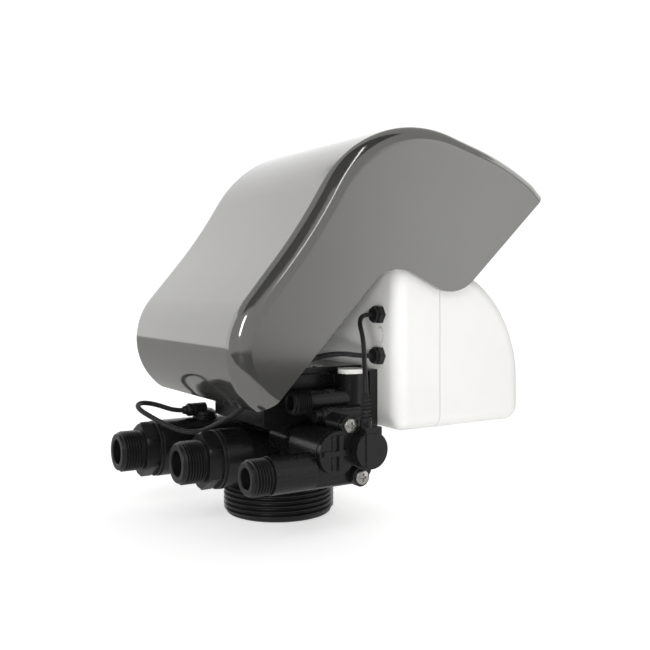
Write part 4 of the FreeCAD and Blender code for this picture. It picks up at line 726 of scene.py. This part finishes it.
def coil(form):
    """The brine check's compression spring, its wire wound six turns up from the poppet."""
    turns, steps, sides, radius, wire, rise = 6, 40, 10, 3.3, 0.35, 15.2
    up = Vector((0, 0, 1))
    rows = []
    for k in range(turns * steps + 1):
        angle = TAU * k / steps
        out = Vector((math.cos(angle), math.sin(angle), 0))
        middle = out * radius + up * (rise * k / (turns * steps))
        rows.append([form.verts.new(middle + (out * math.cos(a) + up * math.sin(a)) * wire)
                     for a in (TAU * i / sides for i in range(sides))])
    skin(form, rows)
    form.faces.new(rows[0])
    form.faces.new(rows[-1])


def sensor(form):
    """The flow sensor's round cap with a knurled rim, which stands in the boss on the outlet pipe."""
    ribs, rim, groove = 24, 7.7, 0.18

    def knurled(angle):
        return rim - groove * (0.5 + 0.5 * math.cos(ribs * angle))

    turn(form, [(1, -5.4), (6.1, -5.4), (6.4, -5.1), (6.4, 0), (7.5, 0), (knurled, 0.3), (knurled, 2.3),
                (7.5, 2.6), (7.2, 2.8), (5.4, 4.15), (5.0, 4.2), (4.6, 3.9), (1, 3.9), (1, -5.4)])


def nose(form):
    """The sensor's cable nose: a stepped tube that narrows to its lead."""
    turn(form, [(1.5, 0), (4.4, 0), (4.4, 8.6), (4.1, 8.9), (4.1, 9.7), (4.4, 10), (4.4, 12.6), (4.1, 13),
                (3.2, 13.6), (2.6, 16.2), (2.3, 16.5), (1.5, 16.5), (1.5, 0)])


class VALVEHEAD_OT_threads(bpy.types.Operator):
    """Builds the threaded ends, the screws with their cross recesses, the spring and the lead fittings"""
    bl_idname = "valvehead.threads"
    bl_label = "Threads, screws and fittings"

    def execute(self, context):
        black = tuple(context.scene.head_colours.body)
        nylon = finish("thread_nylon", moulded_plastic, black, 0.3, relief=0.00002, wear=0.08, edge=0.0003)
        zinc = finish("zinc_plate", plated_steel, ZINC)
        steel = finish("drawn_steel", drawn_steel, STEEL)
        rubber = finish("seal_rubber", soft_rubber, SEAL_BLACK)
        lid_points = [(x, y, 96.4) for x in (-30.5, 30.5) for y in (25.5, 7, -11)]
        cover_points = [(x, -38.8, z) for x in (-30, 30) for z in (35, 87)]
        # the node that each piece stands for, its finish and slot, and its forms: each form's place in
        # millimetres and the axis that it points along
        pieces = (
            ("outlet_adapter", nylon, "body_black", [(adapter, (50, 68, 39), "Y")]),
            ("inlet_adapter", nylon, "body_black", [(adapter, (-10, 51, 40), "Y")]),
            ("drain_spigot", nylon, "body_black", [(spigot(DRAIN_THREAD, 14, 6), (-77, 50, 42), "Y")]),
            ("brine_spigot", nylon, "body_black", [(spigot(BRINE_THREAD, 13, 4.5), (-48, 6, 77.3), "Y")]),
            ("tank_collar", nylon, "body_black", [(collar, (0, 0, 0), "Z")]),
            ("injector_screws", zinc, "screw_zinc",
             [(screw(*INJECTOR_SCREW), (-88.2, y, z), "X") for y, z in ((2, 67.5), (-6, 37))]),
            ("body_screws", zinc, "screw_zinc",
             [(screw(*COVER_SCREW), place, "Y") for place in cover_points]
             + [(screw(*LID_SCREW), place, "-Z") for place in lid_points]),
            ("brine_spring", steel, "steel", [(coil, (-48, -25.5, 68.4), "Z")]),
            ("cell_boot", rubber, "soft_black", [(boot, (-92.15, -6.5, 70.3), "Z")]),
            ("meter_sensor", nylon, "body_black",
             [(sensor, (50, 31, 58.5), "Z"), (nose, (50, 31, 62.8), "Y")]),
        )
        for name, material, slot, forms in pieces:
            mesh = placed(forms)
            mesh.shade_smooth()
            mesh.set_sharp_from_angle(angle=SHARP_FROM)
            obj = new_object(name + "_fine", mesh, material)
            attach(obj, "head")
            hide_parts(name)
            if name == "brine_spring":
                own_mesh(obj)
        return {"FINISHED"}


class VALVEHEAD_OT_drive(bpy.types.Operator):
    """Finishes the gear train, the motor, the rotary valve and the flow meter"""
    bl_idname = "valvehead.drive"
    bl_label = "Drive and valve"

    def execute(self, context):
        dress(finish("gear_acetal", moulded_plastic, (0.8, 0.78, 0.7), 0.4), "drive_gear", "idler_gear",
              "injector_nozzle")
        dress(finish("drawn_steel", drawn_steel, STEEL), "gear_plate", "idler_pin", "motor_pinion",
              "gear_motor", "drive_shaft", "shaft_clip", "position_magnet", "cell_pins")
        dress(finish("valve_ceramic", ceramic, (0.75, 0.73, 0.68)), "stator_disc", "rotor_disc")
        dress(finish("turbine_plastic", moulded_plastic, (0.03, 0.12, 0.3), 0.4), "meter_turbine")
        return {"FINISHED"}


# ---------------------------------------------------------------- stage

# the point that the lamps face, and the cards too unless they are given another
MIDDLE = (0, -0.03, 0.12)
WORLD_GREY = 0.42
# each lamp: its place, width and height, its share of the light's power, and whether gloss mirrors it
LAMPS = {
    "key_light": ((-0.75, 1.1, 0.75), 0.16, 0.6, 0.2, True),
    "edge_light": ((-0.55, 0.1, 1.0), 0.04, 1.0, 0.04, True),
    "fill_light": ((-0.9, 0.9, 0.9), 1.2, 1.2, 0.45, False),
    "under_light": ((-0.6, 0.5, 0.06), 0.12, 0.12, 0.165, False),
    "floor_light": ((0.1, -0.2, 2.2), 1.5, 1.5, 0.8, False),
}
# where the glow of the side card has faded and where it is whole, along Y
FADE = (-0.55, -1.0)
# radius of the round room and of the backdrop, as shares of the floor's width
ROOM_SHARE = 0.49
BACKDROP_SHARE = 0.45
FLOOR_DROP = 0.0005


def area_light(name, at, width, height, power, mirrored):
    """A rectangular lamp that faces the middle of the head."""
    lamp = bpy.data.lights.new(name, "AREA")
    lamp.shape = "RECTANGLE"
    lamp.size = width
    lamp.size_y = height
    lamp.energy = power
    obj = bpy.data.objects.new(name, lamp)
    obj.location = at
    obj.rotation_euler = (Vector(MIDDLE) - Vector(at)).to_track_quat("-Z", "Y").to_euler()
    obj.visible_glossy = mirrored
    bpy.context.scene.collection.objects.link(obj)


def pale_paper(name, glow, paleness, fade=None):
    """Studio paper that glows a little, so that it stays white where it is shaded."""
    made = Finish(name, specular_ior_level=0.1, emission_strength=glow)
    clouds = made.noise(0.6, 2.0)
    paper = made.blend(clouds, shade((paleness,) * 3, 0.97), shade((paleness,) * 3, 1.03))
    light = (1, 1, 1)
    if fade:
        light = made.blend(made.along(1).between(*fade), (0.4, 0.4, 0.4), light)
    made.set(base_color=paper, emission_color=light, roughness=0.95)
    return made


def dark_card(name):
    """Matt black card, a little uneven."""
    made = Finish(name, specular_ior_level=0.1)
    made.set(base_color=made.blend(made.noise(0.2), (0.03, 0.03, 0.03), (0.05, 0.05, 0.05)), roughness=0.95)
    return made


def staged(name, form, material, *unseen):
    """A stage piece. The kinds of ray that it is unseen by are named."""
    mesh = bpy.data.meshes.new(name)
    form.to_mesh(mesh)
    form.free()
    obj = new_object(name, mesh, material)
    for kind in unseen:
        setattr(obj, "visible_" + kind, False)
    return obj


def sweep(name, radius, material, start, end, low, high):
    """A backdrop: an upright wall curved about the origin between two headings in degrees."""
    steps = 24
    form = bmesh.new()
    rows = []
    for k in range(steps + 1):
        angle = math.radians(start + (end - start) * k / steps)
        foot = Vector((radius * math.cos(angle), radius * math.sin(angle), 0))
        rows.append([form.verts.new(foot + Vector((0, 0, z))) for z in (low, high)])
    for here, there in zip(rows, rows[1:]):
        form.faces.new((here[0], here[1], there[1], there[0]))
    staged(name, form, material, "camera")


def card(name, material, *unseen, at, width, height, towards=MIDDLE, heading=0):
    """A flat card that faces a point, turned in its own plane by a heading in degrees."""
    form = bmesh.new()
    bmesh.ops.create_grid(form, x_segments=2, y_segments=2, size=0.5)
    turned = (Vector(towards) - Vector(at)).to_track_quat("Z", "Y").to_matrix().to_4x4()
    turned = turned @ Matrix.Rotation(math.radians(heading), 4, "Z")
    sized = Matrix.Diagonal((width, height, 1, 1))
    bmesh.ops.transform(form, matrix=Matrix.Translation(at) @ turned @ sized, verts=form.verts)
    staged(name, form, material, "camera", *unseen)


def dome(name, radius, material):
    """A pale round room that only the camera sees, so that every view has a clean background."""
    form = bmesh.new()
    bmesh.ops.create_uvsphere(form, u_segments=48, v_segments=24, radius=radius)
    staged(name, form, material, "glossy", "diffuse", "transmission", "shadow")


class VALVEHEAD_OT_stage(bpy.types.Operator):
    """Lays the pale floor and backdrop, hangs the cards that the gloss mirrors and sets the soft lights"""
    bl_idname = "valvehead.stage"
    bl_label = "Stage"

    def execute(self, context):
        sizes = context.scene.stage_sizes
        form = bmesh.new()
        bmesh.ops.create_grid(form, x_segments=8, y_segments=8, size=sizes.floor / 2)
        floor = staged("floor", form, finish("floor_paper", pale_paper, 0.5, 0.86), "glossy")
        # just under the tank collar's rim, so that the two don't share a plane
        floor.location = (0, 0, -FLOOR_DROP)
        dome("room", ROOM_SHARE * sizes.floor, finish("room_paper", pale_paper, 1.0, 0.05))
        sweep("backdrop", BACKDROP_SHARE * sizes.floor, finish("backdrop_paper", pale_paper, 1.05, 0.05),
              start=-110, end=60, low=-0.01, high=2.6)
        black = finish("dark_paper", dark_card)
        card("ceiling_card", black, at=(-0.2, 0.25, 1.3), width=1.3, height=1.3)
        card("near_card", black, "diffuse", "shadow", at=(-0.80, 0.465, 0.002), towards=(-0.80, 0.465, 1.0),
             width=1.16, height=2.0, heading=-32)
        card("side_card", finish("pale_card", pale_paper, 0.76, 0.1, FADE), at=(-1.1, -0.95, 0.25),
             width=1.15, height=1.3)
        for name, (at, width, height, share, mirrored) in LAMPS.items():
            area_light(name, at, width, height, share * sizes.light, mirrored)
        world = bpy.data.worlds.new("grey_room")
        world.use_nodes = True
        sky = world.node_tree.nodes["Background"]
        sky.inputs["Color"].default_value = (1, 0.995, 0.98, 1)
        sky.inputs["Strength"].default_value = WORLD_GREY
        context.scene.world = world
        context.scene.view_settings.view_transform = "Standard"
        return {"FINISHED"}


# ---------------------------------------------------------------- add-on

# in the order that they run: the camera and the leads come first
STEPS = (VALVEHEAD_OT_camera, VALVEHEAD_OT_leads, VALVEHEAD_OT_hood, VALVEHEAD_OT_housing,
         VALVEHEAD_OT_panel, VALVEHEAD_OT_body, VALVEHEAD_OT_threads, VALVEHEAD_OT_drive,
         VALVEHEAD_OT_stage)


class VALVEHEAD_PT_sidebar(bpy.types.Panel):
    """Lists the pieces of the control-valve head"""
    bl_idname = "VALVEHEAD_PT_sidebar"
    bl_label = "Valve head"
    bl_space_type = "VIEW_3D"
    bl_region_type = "UI"
    bl_category = "Valve head"

    def draw(self, context):
        for step in STEPS:
            self.layout.operator(step.bl_idname)
        for group in (context.scene.head_colours, context.scene.lead_sizes, context.scene.stage_sizes):
            for name in group.bl_rna.properties.keys():
                if name not in ("rna_type", "name"):
                    self.layout.prop(group, name)


GROUPS = {"head_colours": HeadColours, "lead_sizes": LeadSizes, "stage_sizes": StageSizes}


def register():
    for made in (*GROUPS.values(), *STEPS, VALVEHEAD_PT_sidebar):
        bpy.utils.register_class(made)
    for name, group in GROUPS.items():
        setattr(bpy.types.Scene, name, bpy.props.PointerProperty(type=group))


def unregister():
    for name in GROUPS:
        delattr(bpy.types.Scene, name)
    for made in (VALVEHEAD_PT_sidebar, *reversed(STEPS), *GROUPS.values()):
        bpy.utils.unregister_class(made)


def main():
    register()
    for step in STEPS:
        group, action = step.bl_idname.split(".")
        getattr(getattr(bpy.ops, group), action)()


if __name__ == "__main__":
    main()
